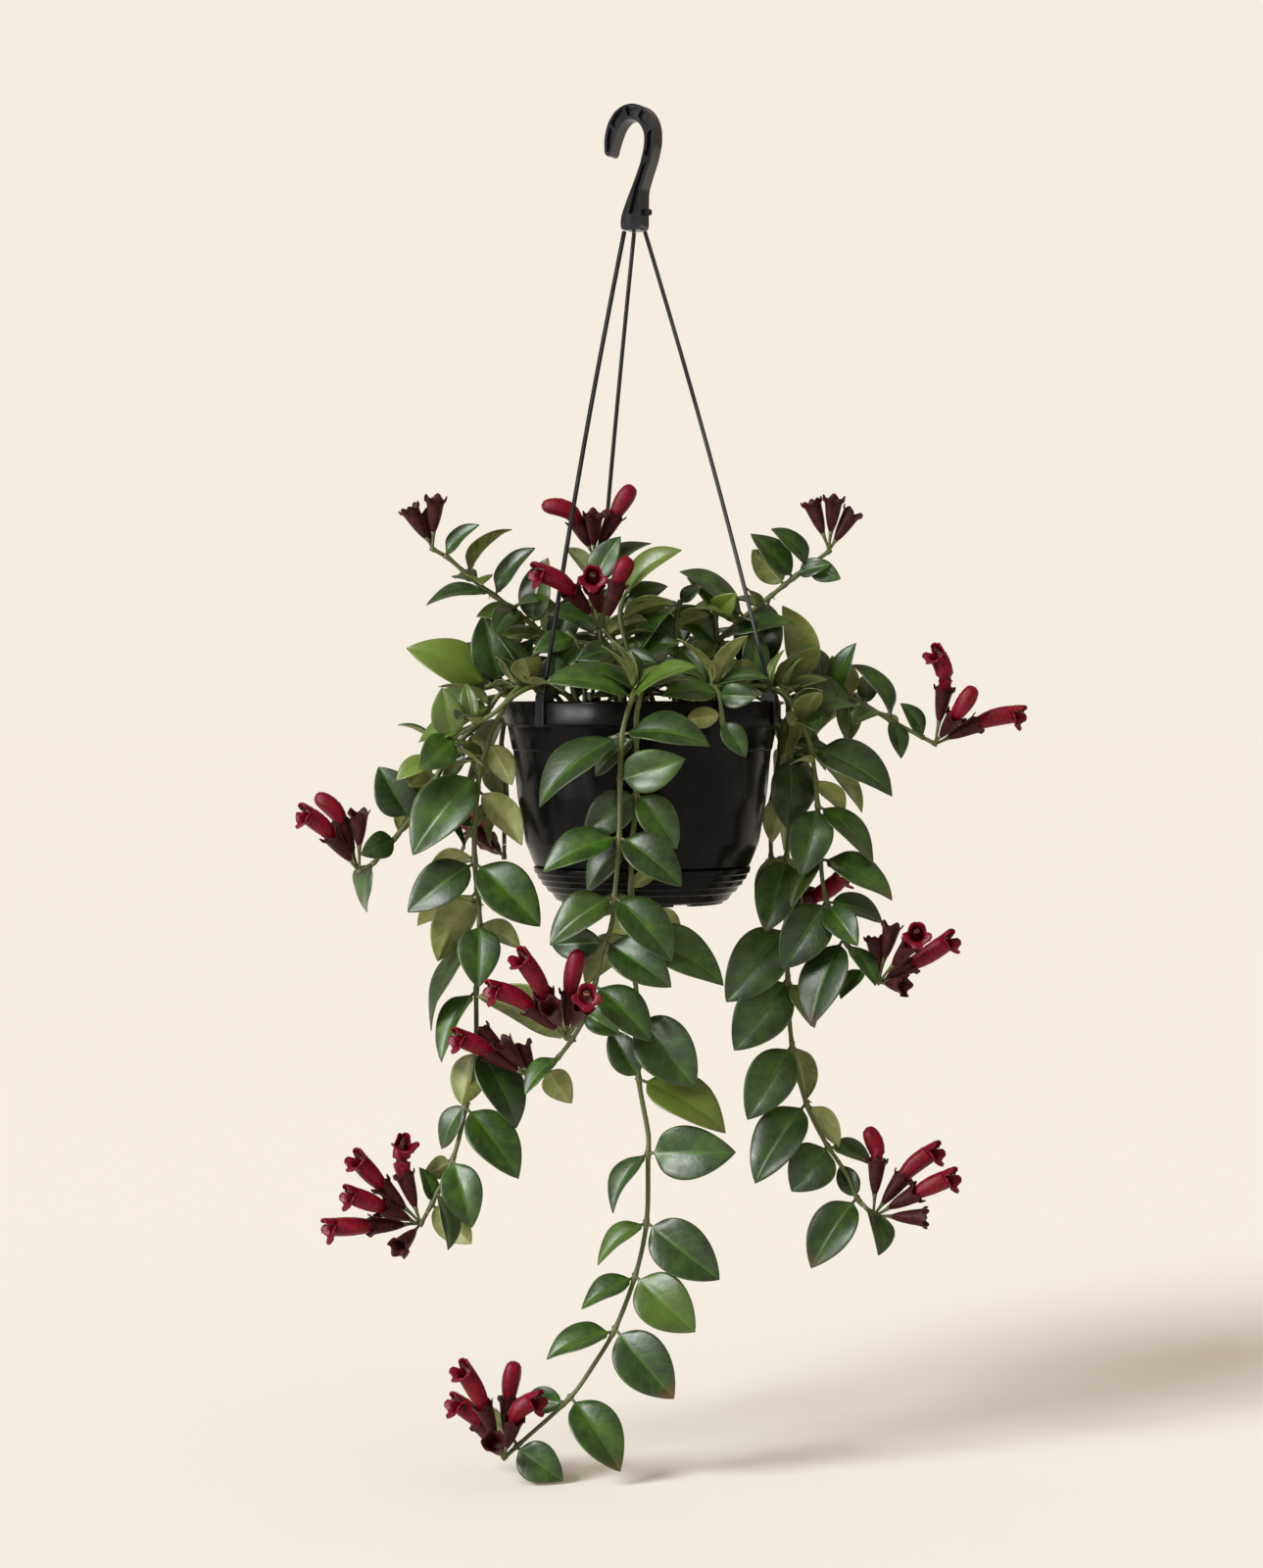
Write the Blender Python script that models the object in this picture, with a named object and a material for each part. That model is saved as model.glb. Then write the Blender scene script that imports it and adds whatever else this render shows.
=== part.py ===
# A lipstick plant in its hanging pot, at real size. Metres, +Z up.
# The origin is the inside top of the hook's crook, where the hanger bears on whatever holds it.
# Sizes and places below are in millimetres, and turned to metres where a mesh is made.

import bpy
import bmesh
from math import acos, cos, pi, radians, sin
from mathutils import Vector
from mathutils.bvhtree import BVHTree

mm = 0.001

# Driving dimensions
potAxis = 4.5            # the pot hangs this far to the right of the bearing point
rimRadius = 85.0
rimTop = -356.0
soilTop = -364.0
floorTop = -459.5         # the pot's floor, which stands clear above the saucer's
seatGap = 0.3            # clearance where two pieces meet
potSides = 30
saucerSides = 24
footArc = radians(44)    # each of the saucer's low feet spans this, and footPitch divides the turn evenly
footPitch = radians(60)
footInner = 43.0
footOuter = 50.0
footTop = -477.0
footLow = -479.2
drainRadius = 4.0
drainReach = 36.0        # the drain holes' distance from the pot's axis
legRadius = 1.15
legSides = 6
hookDepth = 12.0
hookTurn = radians(-25)
webThick = 3.0
stemRadius = 1.7         # at the soil
tipRadius = 1.3          # at a stem's far end
stemSides = 4
bladeThick = 0.7
bladeProportion = 0.56   # a leaf's full width as a share of its length
smallLeaf = 21.0         # a leaf no wider than this is made with one ring fewer
bladeArch = 0.10         # a leaf's rise above its chord as a share of its length
bladeClear = 0.35        # kept between a leaf and whatever another stem carries
holeSlack = 0.6
holeDepth = 13.0
neckLength = 8.0         # the last of a stem, which grew with its bloom
calyxLength = 21.0
flowerSides = 5
eye = Vector((-2.0, -2150.0, -346.0))   # the routes below were sighted from here

up = 1                   # a leaf that shows its upper face to the front
under = -1               # a leaf that shows its underside

potOuter = [(82.2, rimTop), (rimRadius, rimTop), (rimRadius, -370.0), (82.4, -370.5), (79.6, -385.0),
            (78.9, -385.6), (76.3, -414.0), (71.5, -442.0), (65.8, -456.0), (62.9, -456.4), (59.5, -461.5)]
potInner = [(57.5, floorTop), (69.6, -442.0), (77.2, -385.0), (81.8, -358.2)]
# The saucer's wall steps inward under each of its four rings
saucerOuter = [(64.0, -456.7), (66.4, -456.7), (65.9, -460.4), (64.6, -460.9), (63.7, -464.2),
               (62.2, -464.7), (61.1, -468.0), (59.3, -468.5), (57.8, -471.8), (55.6, -472.5),
               (52.6, -477.0), (50.0, -478.0)]
saucerInner = [(49.0, -476.2), (53.6, -472.0), (62.2, -459.5)]

# A stem stands at root (across, depth), then passes the points (across, height, depth) as sighted from the
# front. Its leaves are (root across, root height, tip across, tip height, width, tip nearer by, face).
# A bloom's flowers are (mouth across, mouth height, mouth nearer by, kind, end across, end height).
stems = {
    "stem_front": {
        "root": (2, -50),
        "route": [(0, -347, -64), (-0.5, -349, -80), (-2, -355, -91), (-5, -364, -94.5),
            (-7.7, -377, -96), (-9, -403, -97), (-9.5, -439, -97), (-12.4, -475, -96),
            (-14.5, -494, -95), (-18, -503, -95), (-24.7, -530, -95), (-33, -550, -96), (-42, -562, -98)],
        "branch": [(-23, -524, -95), (-29, -546, -88), (-38.5, -563, -78), (-48.6, -576, -68),
            (-60.6, -589, -58)],
        "leaves": [(-4, -377, 46, -382.5, 18, 12, up), (-13, -377, -59, -420, 20, 8, up),
            (-10, -404, 31, -391, 25, 14, up), (-8, -439, 28.7, -469, 24, 12, up),
            (-14.5, -439, -56, -460.5, 20, 8, up), (-10, -476, 23, -515, 26, 10, up),
            (-18.6, -475, -52, -505, 22, 8, up), (-16, -504, 22.4, -531, 26, 14, up),
            (-20, -503, -51, -505, 20, -14, up), (-23, -530, 9.7, -564, 24, 12, up),
            (-31, -546, -9, -560, 15, 10, up), (-44, -562, -97, -537, 25, -16, under),
            (-2, -350, -54, -343, 16, 12, up), (0, -350, 37, -334, 9, 14, up),
            (-50, -577, -67, -597, 12, 12, up), (-57, -586, -38.6, -602, 18, -10, under)],
        "bloom": [(-56, -533.6, 14, "open", -74, -506), (-65, -542, 4, "open", -94.5, -531),
            (-52, -542, 28, "empty", 0, 0), (-39.4, -532.7, 2, "bud", -34, -508),
            (-31, -541, 25, "empty", 0, 0)],
        "branch_bloom": [(-90, -570, 4, "open", -113, -560), (-95, -557, -8, "empty", 0, 0),
            (-81.6, -564, 10, "empty", 0, 0), (-70, -565, -2, "empty", 0, 0)],
    },
    "stem_centre": {
        "root": (12, -44),
        "route": [(7, -346, -62), (4, -348, -78), (3, -354, -87), (1, -366, -88.5), (1, -411, -88.5),
            (-2, -452, -88), (-2, -497, -86), (-1, -520, -84), (1, -534, -83), (2.5, -587, -80),
            (8.4, -622, -78), (8.2, -633, -78), (7.3, -674, -76), (0.9, -705.5, -75), (-12, -740, -74),
            (-25, -762, -73), (-39.4, -782, -72), (-68.4, -808.6, -70), (-80, -819, -70)],
        "leaves": [(0, -378, -24, -402, 15, -3, up), (1, -411, -31, -437, 24, -2, up),
            (1.7, -412, 26, -446, 22, 2, up), (0, -440, -29, -473, 17, -4, up),
            (-2, -470, 14, -460, 9, 2, under), (-2, -475, -24, -488, 11, -5, up),
            (5, -499, 55, -530, 26, 12, up), (0, -498, -30, -530, 20, -18, under),
            (0, -548, 37, -592, 34, 10, up), (-1, -587, -15, -557, 20, -6, up),
            (8.7, -586.5, 56, -619.5, 27, 8, up), (10.5, -632.5, 62, -632, 32, 14, up),
            (0, -632, -14, -669, 12, 8, up), (7.8, -675, 52, -710, 32, 10, up),
            (1, -674, -22.6, -701, 12, 4, up), (-1.4, -707, 37, -742, 32, 12, up),
            (-6, -707, -32.6, -728, 14, 6, up), (-10.6, -741, 24, -783, 32, 10, up),
            (-18.4, -739, -54, -758.5, 16, 6, up), (-37.6, -783, -9, -827.6, 28, 12, up),
            (-44.5, -784, -66, -782, 16, -12, up), (-73, -812, -44, -833, 24, 8, up),
            (-72, -812, -100, -800, 11, -16, under)],
        "bloom": [(-93.6, -785.6, 8, "open", -109, -759), (-77, -782, -6, "bud", -73.4, -760),
            (-95.5, -797, -6, "open", -114, -783), (-73.4, -794, 10, "open", -54, -782),
            (-87, -808.5, 24, "empty", 0, 0)],
    },
    "stem_left": {
        "root": (-50, -26),
        "route": [(-60, -347, -28), (-71, -348, -34), (-78, -355, -40), (-82.7, -364.7, -42),
            (-87.5, -373, -43), (-90, -382, -43), (-95, -400, -43), (-98, -433, -42), (-98, -455, -41),
            (-95, -490, -40), (-97, -532, -40), (-97.5, -567, -40), (-103, -602, -42),
            (-111, -635, -44), (-124, -663, -47), (-131, -676, -50)],
        "leaves": [(-90, -381, -75, -407, 16, 4, under), (-96, -400, -136, -450, 32, 12, up),
            (-93, -411, -69, -444, 18, 2, under), (-99, -455, -139, -485, 26, 8, up),
            (-99, -452, -127, -460, 12, -8, under), (-99, -455, -58, -494, 30, 12, up),
            (-97, -472, -121, -515, 24, 2, under), (-97, -480, -134, -494, 12, -12, under),
            (-93, -492, -70, -507, 14, -6, under), (-94, -492, -96, -531, 26, 16, up),
            (-97, -501, -126, -559, 11, 8, up), (-98, -533, -118, -577, 14, 6, up),
            (-95, -568, -72, -617, 26, 8, up), (-98, -569, -106, -603, 22, 10, under),
            (-102, -605, -71, -648, 28, 10, up), (-104, -602, -118, -630, 14, -8, up),
            (-111, -636, -99.6, -678, 25, 10, up), (-112, -638, -130, -647, 14, -10, under),
            (-124, -664, -100, -688, 20, 6, under), (-124, -663, -131, -640, 10, -14, up),
            (-121, -657, -113, -690, 11, 12, up)],
        "bloom": [(-141.5, -644.6, -2, "open", -140, -622), (-156, -651, 4, "open", -173, -632),
            (-156, -665, 14, "open", -180, -656), (-163, -677, 8, "open", -193.5, -678),
            (-145, -691, 22, "empty", 0, 0)],
    },
    "stem_far_left": {
        "root": (-54, -4),
        "route": [(-63, -346, -8), (-72, -347, -12), (-82, -351, -15), (-88, -359, -16),
            (-94, -368.5, -17), (-108.6, -382, -18), (-125, -408, -20), (-138, -428, -22),
            (-153.4, -448, -24), (-160, -455, -26), (-168.7, -460, -28)],
        "leaves": [(-140, -426, -157, -396, 26, 6, up), (-146, -441, -168, -450, 17, 14, up),
            (-144, -438, -131, -416, 12, -8, under), (-160, -455, -167, -487, 12, 2, up),
            (-105, -380, -114, -404, 14, -6, up), (-100, -375, -94, -402, 14, 4, under),
            (-122, -398, -134, -420, 12, 10, under)],
        "bloom": [(-187, -436.7, 8, "open", -207, -422), (-180, -429, -6, "bud", -195.6, -413.7),
            (-169, -423, 8, "empty", 0, 0)],
    },
    "shoot_left_rim": {
        "root": (-42, 12),
        "route": [(-58, -345, 8), (-70, -343, 4), (-82, -345, 0), (-92, -347, -2)],
        "leaves": [(-90, -346, -139.6, -323, 26, 8, up), (-82, -346, -93, -303, 27, 6, up),
            (-88, -346, -104, -325, 11, -10, up), (-80, -346, -117, -351, 16, 12, up),
            (-74, -344, -63, -318, 14, -6, up), (-72, -344, -52, -329, 20, 8, up)],
    },
    "shoot_left_low": {
        "root": (-34, -42),
        "route": [(-50, -346, -48), (-63, -347, -56), (-76, -354, -63), (-86, -363, -64),
            (-98, -370, -62), (-108, -376, -60), (-117, -384, -58), (-126, -394, -57)],
        "leaves": [(-113, -378, -118, -347, 20, 8, up), (-111, -378, -132, -397, 22, 14, up),
            (-104, -374, -133, -381, 12, -8, up), (-125, -392, -138, -408, 14, 10, under),
            (-124, -390, -145, -404, 12, -4, up)],
    },
    "stem_upper_left": {
        "root": (-34, -8),
        "route": [(-40, -340, -8), (-46, -324, -10), (-55, -315.6, -14), (-74, -300, -18),
            (-97, -283, -22), (-114.6, -267.7, -26), (-124, -262.5, -28)],
        "leaves": [(-116, -267, -95, -248, 10, 8, up), (-103, -278, -76, -250, 9, 4, under),
            (-85, -291, -61, -262, 12, 6, up), (-88, -290, -127.6, -297, 9, 12, up),
            (-66.7, -306, -97, -304, 12, 14, up), (-55, -316, -84, -318, 9, 10, up),
            (-62, -310, -53, -268, 20, 8, up), (-48, -321, -38, -291, 20, 6, up)],
        "bloom": [(-138.5, -237, 4, "empty", 0, 0), (-122, -231, 10, "empty", 0, 0),
            (-129, -241, -8, "empty", 0, 0)],
    },
    "stem_crown_front": {
        "root": (-10, -8),
        "route": [(-16, -340, -10), (-22, -310, -12), (-26, -285, -12), (-25, -267, -12)],
        "leaves": [(-25, -284, -9, -255, 18, 8, up), (-25, -286, 10, -259, 13, -8, up),
            (-25, -280, -42, -262, 10, -6, under), (-22, -312, -52, -302, 14, 12, up),
            (-20, -318, 8, -306, 13, 10, under)],
        "bloom": [(-36, -244, 4, "bud", -57, -236.5), (-25, -240.5, 12, "empty", 0, 0),
            (-11.5, -240.6, 0, "bud", -1, -224)],
    },
    "stem_crown_low": {
        "root": (-8, -32),
        "route": [(-9, -345, -36), (-10, -330, -38), (-14, -318, -40), (-18.8, -312, -41)],
        "leaves": [(-12, -325, -36, -331, 12, 10, up), (-11, -328, -24, -346, 12, 6, under),
            (-10, -330, 14, -333, 12, 12, up)],
        "bloom": [(-39.6, -287.5, 20, "open", -67, -274.5), (-25, -285, 24, "empty", 0, 0),
            (-10.4, -283, -2, "bud", -2.8, -268)],
    },
    "shoot_crown_left": {
        "root": (-30, -24),
        "route": [(-31, -346, -25), (-33, -330, -26), (-36, -319, -27), (-42, -313, -27)],
        "leaves": [(-38, -318, -62, -326, 14, 14, up), (-35, -322, -50, -344, 14, 8, up),
            (-33, -330, -8, -341, 14, 12, up), (-32, -332, -62, -341, 16, 12, up)],
    },
    "shoot_crown_mid": {
        "root": (4, -22),
        "route": [(1, -340, -22), (-6, -318, -22), (-9, -304, -22), (-7, -292, -22)],
        "leaves": [(-7, -292, 28.4, -263, 13, 8, up), (-8, -299, 20, -285, 13, -6, up),
            (-9, -306, 24, -296, 12, 10, under), (-2, -327, 27, -320, 14, 12, up)],
    },
    "shoot_crown_right": {
        "root": (26, -14),
        "route": [(26, -340, -14), (25, -320, -14), (26, -304, -13), (28, -294, -12)],
        "leaves": [(27, -297, 2, -327, 12, 12, up), (28, -295, 41, -285, 9, 6, up),
            (25, -322, 44, -343, 16, 12, up), (26, -310, 46, -303, 12, -8, under),
            (25, -318, 5, -300, 14, -8, up)],
    },
    "stem_upper_right": {
        "root": (42, -2),
        "route": [(46, -340, 0), (51, -320, 2), (61.7, -309, 4), (81.4, -293, 8), (102, -276.5, 10),
            (119, -264, 12)],
        "branch": [(51, -321, 2), (50, -310, -2), (49, -300, -4)],
        "leaves": [(66, -304, 28, -276, 12, 6, up), (91, -284, 72, -263, 18, 6, under),
            (96, -280, 70.5, -254, 16, -8, up), (106, -273, 84, -250, 12, 6, up),
            (100, -278, 120, -272, 11, 10, up), (107, -272, 126, -281, 14, 10, up),
            (53, -318, 98, -309, 11, 14, up), (83, -292, 70, -341, 30, 12, up),
            (50, -322, 24, -297, 12, 8, up), (49, -324, 32, -333, 20, 14, up),
            (49, -301, 32, -280, 10, 4, up), (49, -302, 62, -290, 12, 8, up),
            (47, -338, 74, -341, 14, 14, under)],
        "bloom": [(108, -233, 2, "empty", 0, 0), (122, -231, 10, "empty", 0, 0),
            (134, -239, 4, "empty", 0, 0)],
    },
    "stem_right": {
        "root": (54, 20),
        "route": [(70, -345, 24), (84, -345, 26), (103, -345, 26), (133, -354, 26), (156.6, -367.5, 26),
            (184, -382, 26)],
        "leaves": [(104, -345, 131, -356, 11, 12, up), (130, -353, 130.7, -381, 16, 8, up),
            (92, -345, 124, -360, 16, 14, up), (133, -354, 121, -328, 20, 6, under),
            (158, -367, 134, -333, 11, 4, up), (156, -368, 163, -391, 12, 8, up),
            (178, -378, 163, -357, 11, 6, up), (103, -345, 91, -297, 22, 10, under),
            (82, -345, 52, -338, 14, -8, up)],
        "bloom": [(189.8, -347, 2, "open", 180.7, -320.6), (197, -364, 10, "bud", 208, -347),
            (211, -369, 0, "open", 242.5, -363.5)],
    },
    "stem_right_trailing": {
        "root": (58, 0),
        "route": [(72, -347, 1), (84, -348, 2), (92, -353, 3), (94.5, -362, 3), (95, -382, 3),
            (95, -433, 3), (93, -451, 3), (92.6, -493, 2), (93.5, -520, 1), (96, -564, 0),
            (104, -599, -2), (115, -623, -4), (130, -646, -6), (136, -660, -8), (146, -671, -10)],
        "leaves": [(94, -362, 90, -390, 16, -10, under), (94, -389, 93, -434, 30, 12, up),
            (94, -410, 84, -443, 16, -10, under), (92, -451, 74, -475, 18, 2, under),
            (94, -451, 80, -497, 28, 12, up), (92.6, -493, 56, -540, 34, 10, up),
            (93, -493, 116, -520, 14, -14, under), (93.7, -525, 61, -569.5, 34, 10, up),
            (94, -528, 110, -556, 14, 6, up), (96, -566, 69, -612, 30, 10, up),
            (97, -566, 105, -600, 16, -6, under), (101.6, -603.5, 73.6, -651, 30, 10, up),
            (106, -603, 125, -629, 14, 2, under), (118, -628, 96, -656, 30, 10, up),
            (120, -628, 146, -640, 12, -12, up), (134, -661, 108, -703, 27, 10, up),
            (134, -661, 126, -640, 14, -12, up), (138, -664, 148, -690, 12, 8, up)],
        "bloom": [(148.4, -636, -4, "bud", 142, -617), (165, -646, 0, "open", 190.7, -628),
            (174, -656, 10, "open", 199.5, -645), (179, -672, 6, "empty", 0, 0)],
    },
    "stem_right_mid": {
        "root": (50, -20),
        "route": [(70, -347, -22), (83, -348, -23), (93, -352, -23), (98, -360, -23), (103, -371, -23),
            (108, -385, -22), (112, -420, -22), (113.8, -454, -22), (117.3, -478, -22),
            (127, -500, -23), (141, -520, -24), (149.4, -528, -25)],
        "leaves": [(108.5, -385, 158, -413, 24, 12, up), (109, -388, 139, -424, 12, -10, under),
            (112, -420, 146, -455, 16, 4, up), (112, -420, 102, -463, 27, 14, up),
            (111, -404, 128, -425, 12, -12, under), (114, -452.5, 158, -477, 18, 10, up),
            (113, -452, 96, -482, 14, 12, up), (117, -478, 90, -520, 30, 12, up),
            (120, -480, 136, -505, 20, 14, up), (118, -479, 152, -491, 14, -10, up),
            (127, -502, 108, -555, 27, 12, up), (131, -505, 147, -529, 12, 6, up),
            (141, -520, 126, -538, 11, 10, up)],
        "bloom": [(147, -500, -4, "empty", 0, 0), (157.7, -492, 2, "empty", 0, 0),
            (170, -503, 20, "empty", 0, 0), (171, -516, 2, "open", 199, -497),
            (166, -530, 12, "empty", 0, 0)],
    },
    "shoot_front_right": {
        "root": (44, -36),
        "route": [(46, -347, -46), (49, -347, -58), (52, -353, -72), (53, -362, -77), (54, -372, -79)],
        "leaves": [(49, -347, 17, -352, 14, 14, up), (50, -349, 75, -353, 15, 12, up),
            (53, -364, 32, -367, 13, 10, under), (54, -368, 68, -390, 14, 4, up)],
    },
}

# Stems at the back, which the front view hides: root, bearing round the pot in degrees, lowest point
backStems = {"stem_back_left": ((-30, 34), 156, -470), "stem_back": ((4, 52), 88, -520),
             "stem_back_right": ((40, 32), 26, -490)}
backReach = 96.0         # how far from the pot's axis they hang
backPitch = 34.0         # from one pair of leaves to the next
backLeaf = 46.0
# Short shoots at the back of the crown: root, bearing, reach past the root, rise above the soil
backShoots = {"shoot_back_left": ((-36, 24), 160, 48, 42), "shoot_back": ((-6, 28), 118, 44, 50),
              "shoot_back_right": ((24, 26), 62, 46, 44)}

# The hanger's hook, as (across, height) in its own plane, which is turned about the upright
hookOutline = [(-17.9, -20.0), (-18.0, -11.0), (-15.6, -1.5), (-10.6, 5.6), (-4.4, 9.0), (2.0, 9.4),
               (8.2, 7.2), (13.2, 1.6), (15.8, -6.0), (15.9, -15.0), (13.6, -25.0), (10.0, -35.0),
               (7.0, -44.0), (6.8, -68.0), (-6.8, -68.0), (-6.8, -60.0), (-2.6, -49.0), (1.6, -39.5),
               (6.2, -28.0), (8.8, -18.0), (9.2, -10.0), (6.8, -4.4), (3.0, -1.0), (-0.9, 0.0),
               (-4.6, -1.2), (-7.8, -4.8), (-10.2, -10.0), (-12.6, -17.0), (-13.6, -21.0), (-15.8, -22.3)]
hookPockets = [
    [(-16.2, -19.4), (-16.2, -11.2), (-14.6, -4.0), (-11.4, -7.0), (-12.4, -12.0), (-14.6, -19.4)],
    [(-13.8, -2.0), (-9.9, 4.0), (-5.4, 7.0), (-8.4, -2.0), (-10.6, -5.2)],
    [(-3.6, 7.3), (1.6, 7.6), (5.6, 6.2), (1.2, 1.6), (-0.9, 1.9), (-2.4, 1.8)],
    [(7.2, 5.6), (11.8, 0.6), (13.9, -5.2), (11.4, -6.0), (8.4, -3.6), (4.6, 1.2)],
    [(14.1, -7.0), (14.1, -14.6), (11.6, -24.0), (9.0, -22.0), (10.8, -17.4), (11.2, -9.4)],
    [(10.6, -26.4), (5.2, -42.6), (5.0, -58.0), (-1.6, -58.0), (3.6, -39.6), (7.8, -29.0)]]
pegRadius = 2.0
pegCentre = (11.0, -57.0)
pegLength = 5.6
legTops = {"left": (-6.4, -1.2), "right": (6.2, 0.2), "back": (-0.4, 4.4)}
legBearings = {"left": 225.0, "right": 339.0, "back": 112.0}
legTopHeight = -68.3
clipHeight = -351.5
clipWidth = 7.0
clipOutline = [(77.6, -361.0), (77.6, -352.6), (79.6, -350.4), (85.4, -350.4), (87.0, -352.4),
               (87.0, -370.4), (85.4, -370.4), (85.4, -355.6), (79.2, -355.6), (79.2, -361.0)]
legBow = 2.5


def sight(across, height, depth):
    """The point seen at (across, height) on the bearing point's plane, standing at this depth."""
    share = (depth - eye.y) / -eye.y
    return Vector((eye.x + (across - eye.x) * share, depth, eye.z + (height - eye.z) * share))


def makeMaterial(name, colour, roughness):
    material = bpy.data.materials.new(name)
    material.use_nodes = True
    shader = material.node_tree.nodes["Principled BSDF"]
    shader.inputs["Base Color"].default_value = (*colour, 1.0)
    shader.inputs["Roughness"].default_value = roughness
    return material


def makeObject(name, solid, material, smooth=True):
    """One closed solid, given as (points, faces) in millimetres."""
    points, faces = solid
    mesh = bpy.data.meshes.new(name)
    mesh.from_pydata([point * mm for point in points], [], faces)
    mesh.materials.append(material)
    part = bpy.data.objects.new(name, mesh)
    bpy.context.scene.collection.objects.link(part)
    if smooth:
        mesh.shade_smooth()
        mesh.set_sharp_from_angle(angle=radians(40))
    return part


def settleMesh(part):
    """Replace the mesh by the modifiers' result, in triangles, and tell whether it is closed."""
    shape = bmesh.new()
    shape.from_object(part, bpy.context.evaluated_depsgraph_get())
    bmesh.ops.triangulate(shape, faces=shape.faces)
    closed = all(len(edge.link_faces) == 2 for edge in shape.edges)
    shape.to_mesh(part.data)
    shape.free()
    part.modifiers.clear()
    return closed


def combine(part, solids, operation="UNION"):
    """Join solids to a part, or cut them from it, in one step, and drop the loose copies."""
    group = bpy.data.collections.new(part.name + "_pieces")
    for number, solid in enumerate(solids):
        piece = makeObject(f"{part.name}_piece{number}", solid, part.data.materials[0], smooth=False)
        group.objects.link(piece)
    before = part.data.copy()
    for solver in ("EXACT", "MANIFOLD"):
        part.data = before.copy()
        modifier = part.modifiers.new("combine", "BOOLEAN")
        modifier.operation = operation
        modifier.operand_type = "COLLECTION"
        modifier.collection = group
        modifier.solver = solver
        if settleMesh(part):
            break
    for piece in list(group.objects):
        bpy.data.objects.remove(piece)
    bpy.data.collections.remove(group)


def ringFaces(rings, sides, tip):
    """Faces of a run of rings, closed by a flat cap at the start and a cap or a tip point at the end."""
    faces = []
    for ring in range(rings - 1):
        for corner in range(sides):
            first = ring * sides + corner
            second = ring * sides + (corner + 1) % sides
            faces.append((first, second, second + sides, first + sides))
    faces.append(tuple(reversed(range(sides))))
    last = (rings - 1) * sides
    if tip:
        faces += [(last + corner, last + (corner + 1) % sides, last + sides) for corner in range(sides)]
    else:
        faces.append(tuple(range(last, last + sides)))
    return faces


def tube(route, radii, sides):
    """A tube along a route, with a radius at each of its points."""
    points = []
    across = (route[1] - route[0]).orthogonal().normalized()
    for index, centre in enumerate(route):
        ahead = (route[min(index + 1, len(route) - 1)] - route[max(index - 1, 0)]).normalized()
        across = (across - ahead * across.dot(ahead)).normalized()
        aside = ahead.cross(across)
        for corner in range(sides):
            angle = 2 * pi * corner / sides
            points.append(centre + (across * cos(angle) + aside * sin(angle)) * radii[index])
    return points, ringFaces(len(route), sides, False)


def turned(outer, inner, sides):
    """A profile of (radius, height), outer side down and inner side up, turned about the pot's axis."""
    profile = outer + inner
    points = []
    for radius, height in profile:
        for step in range(sides):
            angle = 2 * pi * step / sides
            points.append(Vector((potAxis + radius * cos(angle), radius * sin(angle), height)))
    centre = len(points)
    points.append(Vector((potAxis, 0, outer[-1][1])))
    points.append(Vector((potAxis, 0, inner[0][1])))
    faces = []
    for index in range(len(profile)):
        after = (index + 1) % len(profile)
        if index == len(outer) - 1:
            continue
        for step in range(sides):
            turn = (step + 1) % sides
            faces.append((after * sides + step, after * sides + turn,
                          index * sides + turn, index * sides + step))
    for step in range(sides):
        turn = (step + 1) % sides
        last = (len(outer) - 1) * sides
        faces.append((last + turn, last + step, centre))
        faces.append((last + sides + step, last + sides + turn, centre + 1))
    return points, faces


def slab(outline, front, back, place):
    """An outline of (across, height) given depth from front to back, then moved by place."""
    area = sum(a[0] * b[1] - b[0] * a[1] for a, b in zip(outline, outline[1:] + outline[:1]))
    ordered = outline if area > 0 else outline[::-1]
    points = [place(across, front, height) for across, height in ordered]
    points += [place(across, back, height) for across, height in ordered]
    count = len(ordered)
    faces = [tuple(range(count)), tuple(reversed(range(count, 2 * count)))]
    faces += [(step, step + count, (step + 1) % count + count, (step + 1) % count) for step in range(count)]
    return points, faces


def hookPlace(across, depth, height):
    return Vector((across * cos(hookTurn) - depth * sin(hookTurn),
                   across * sin(hookTurn) + depth * cos(hookTurn), height))


def makeHook(material):
    hook = makeObject("hanger_hook", slab(hookOutline, -hookDepth / 2, hookDepth / 2, hookPlace), material)
    half = webThick / 2
    pockets = [slab(outline, -hookDepth, -half, hookPlace) for outline in hookPockets]
    pockets += [slab(outline, half, hookDepth, hookPlace) for outline in hookPockets]
    combine(hook, pockets, "DIFFERENCE")
    start = hookPlace(pegCentre[0] - pegLength, 0, pegCentre[1])
    peg = tube([start, hookPlace(pegCentre[0], 0, pegCentre[1])], [pegRadius] * 2, 10)
    combine(hook, [peg])
    return hook


def clipPlace(bearing):
    """Moves a clip's outline, whose across is a distance from the pot's axis, to its bearing."""
    def place(reach, aside, height):
        return Vector((potAxis + reach * cos(bearing) - aside * sin(bearing),
                       reach * sin(bearing) + aside * cos(bearing), height))
    return place


def legRoute(side):
    """From under the hook down to the top of the clip, bowed a little outward."""
    bearing = radians(legBearings[side])
    top = Vector((*legTops[side], legTopHeight))
    foot = clipPlace(bearing)(83.2, 0, clipHeight)
    outward = Vector((cos(bearing), sin(bearing), 0))
    shares = (0, 0.08, 0.25, 0.5, 0.75, 1)
    return [top.lerp(foot, share) + outward * legBow * sin(pi * share) for share in shares]


def makeLeg(side, material):
    route = legRoute(side)
    leg = makeObject(f"hanger_leg_{side}", tube(route, [legRadius] * len(route), legSides), material)
    place = clipPlace(radians(legBearings[side]))
    combine(leg, [slab(clipOutline, -clipWidth / 2, clipWidth / 2, place)])
    return leg


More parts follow.
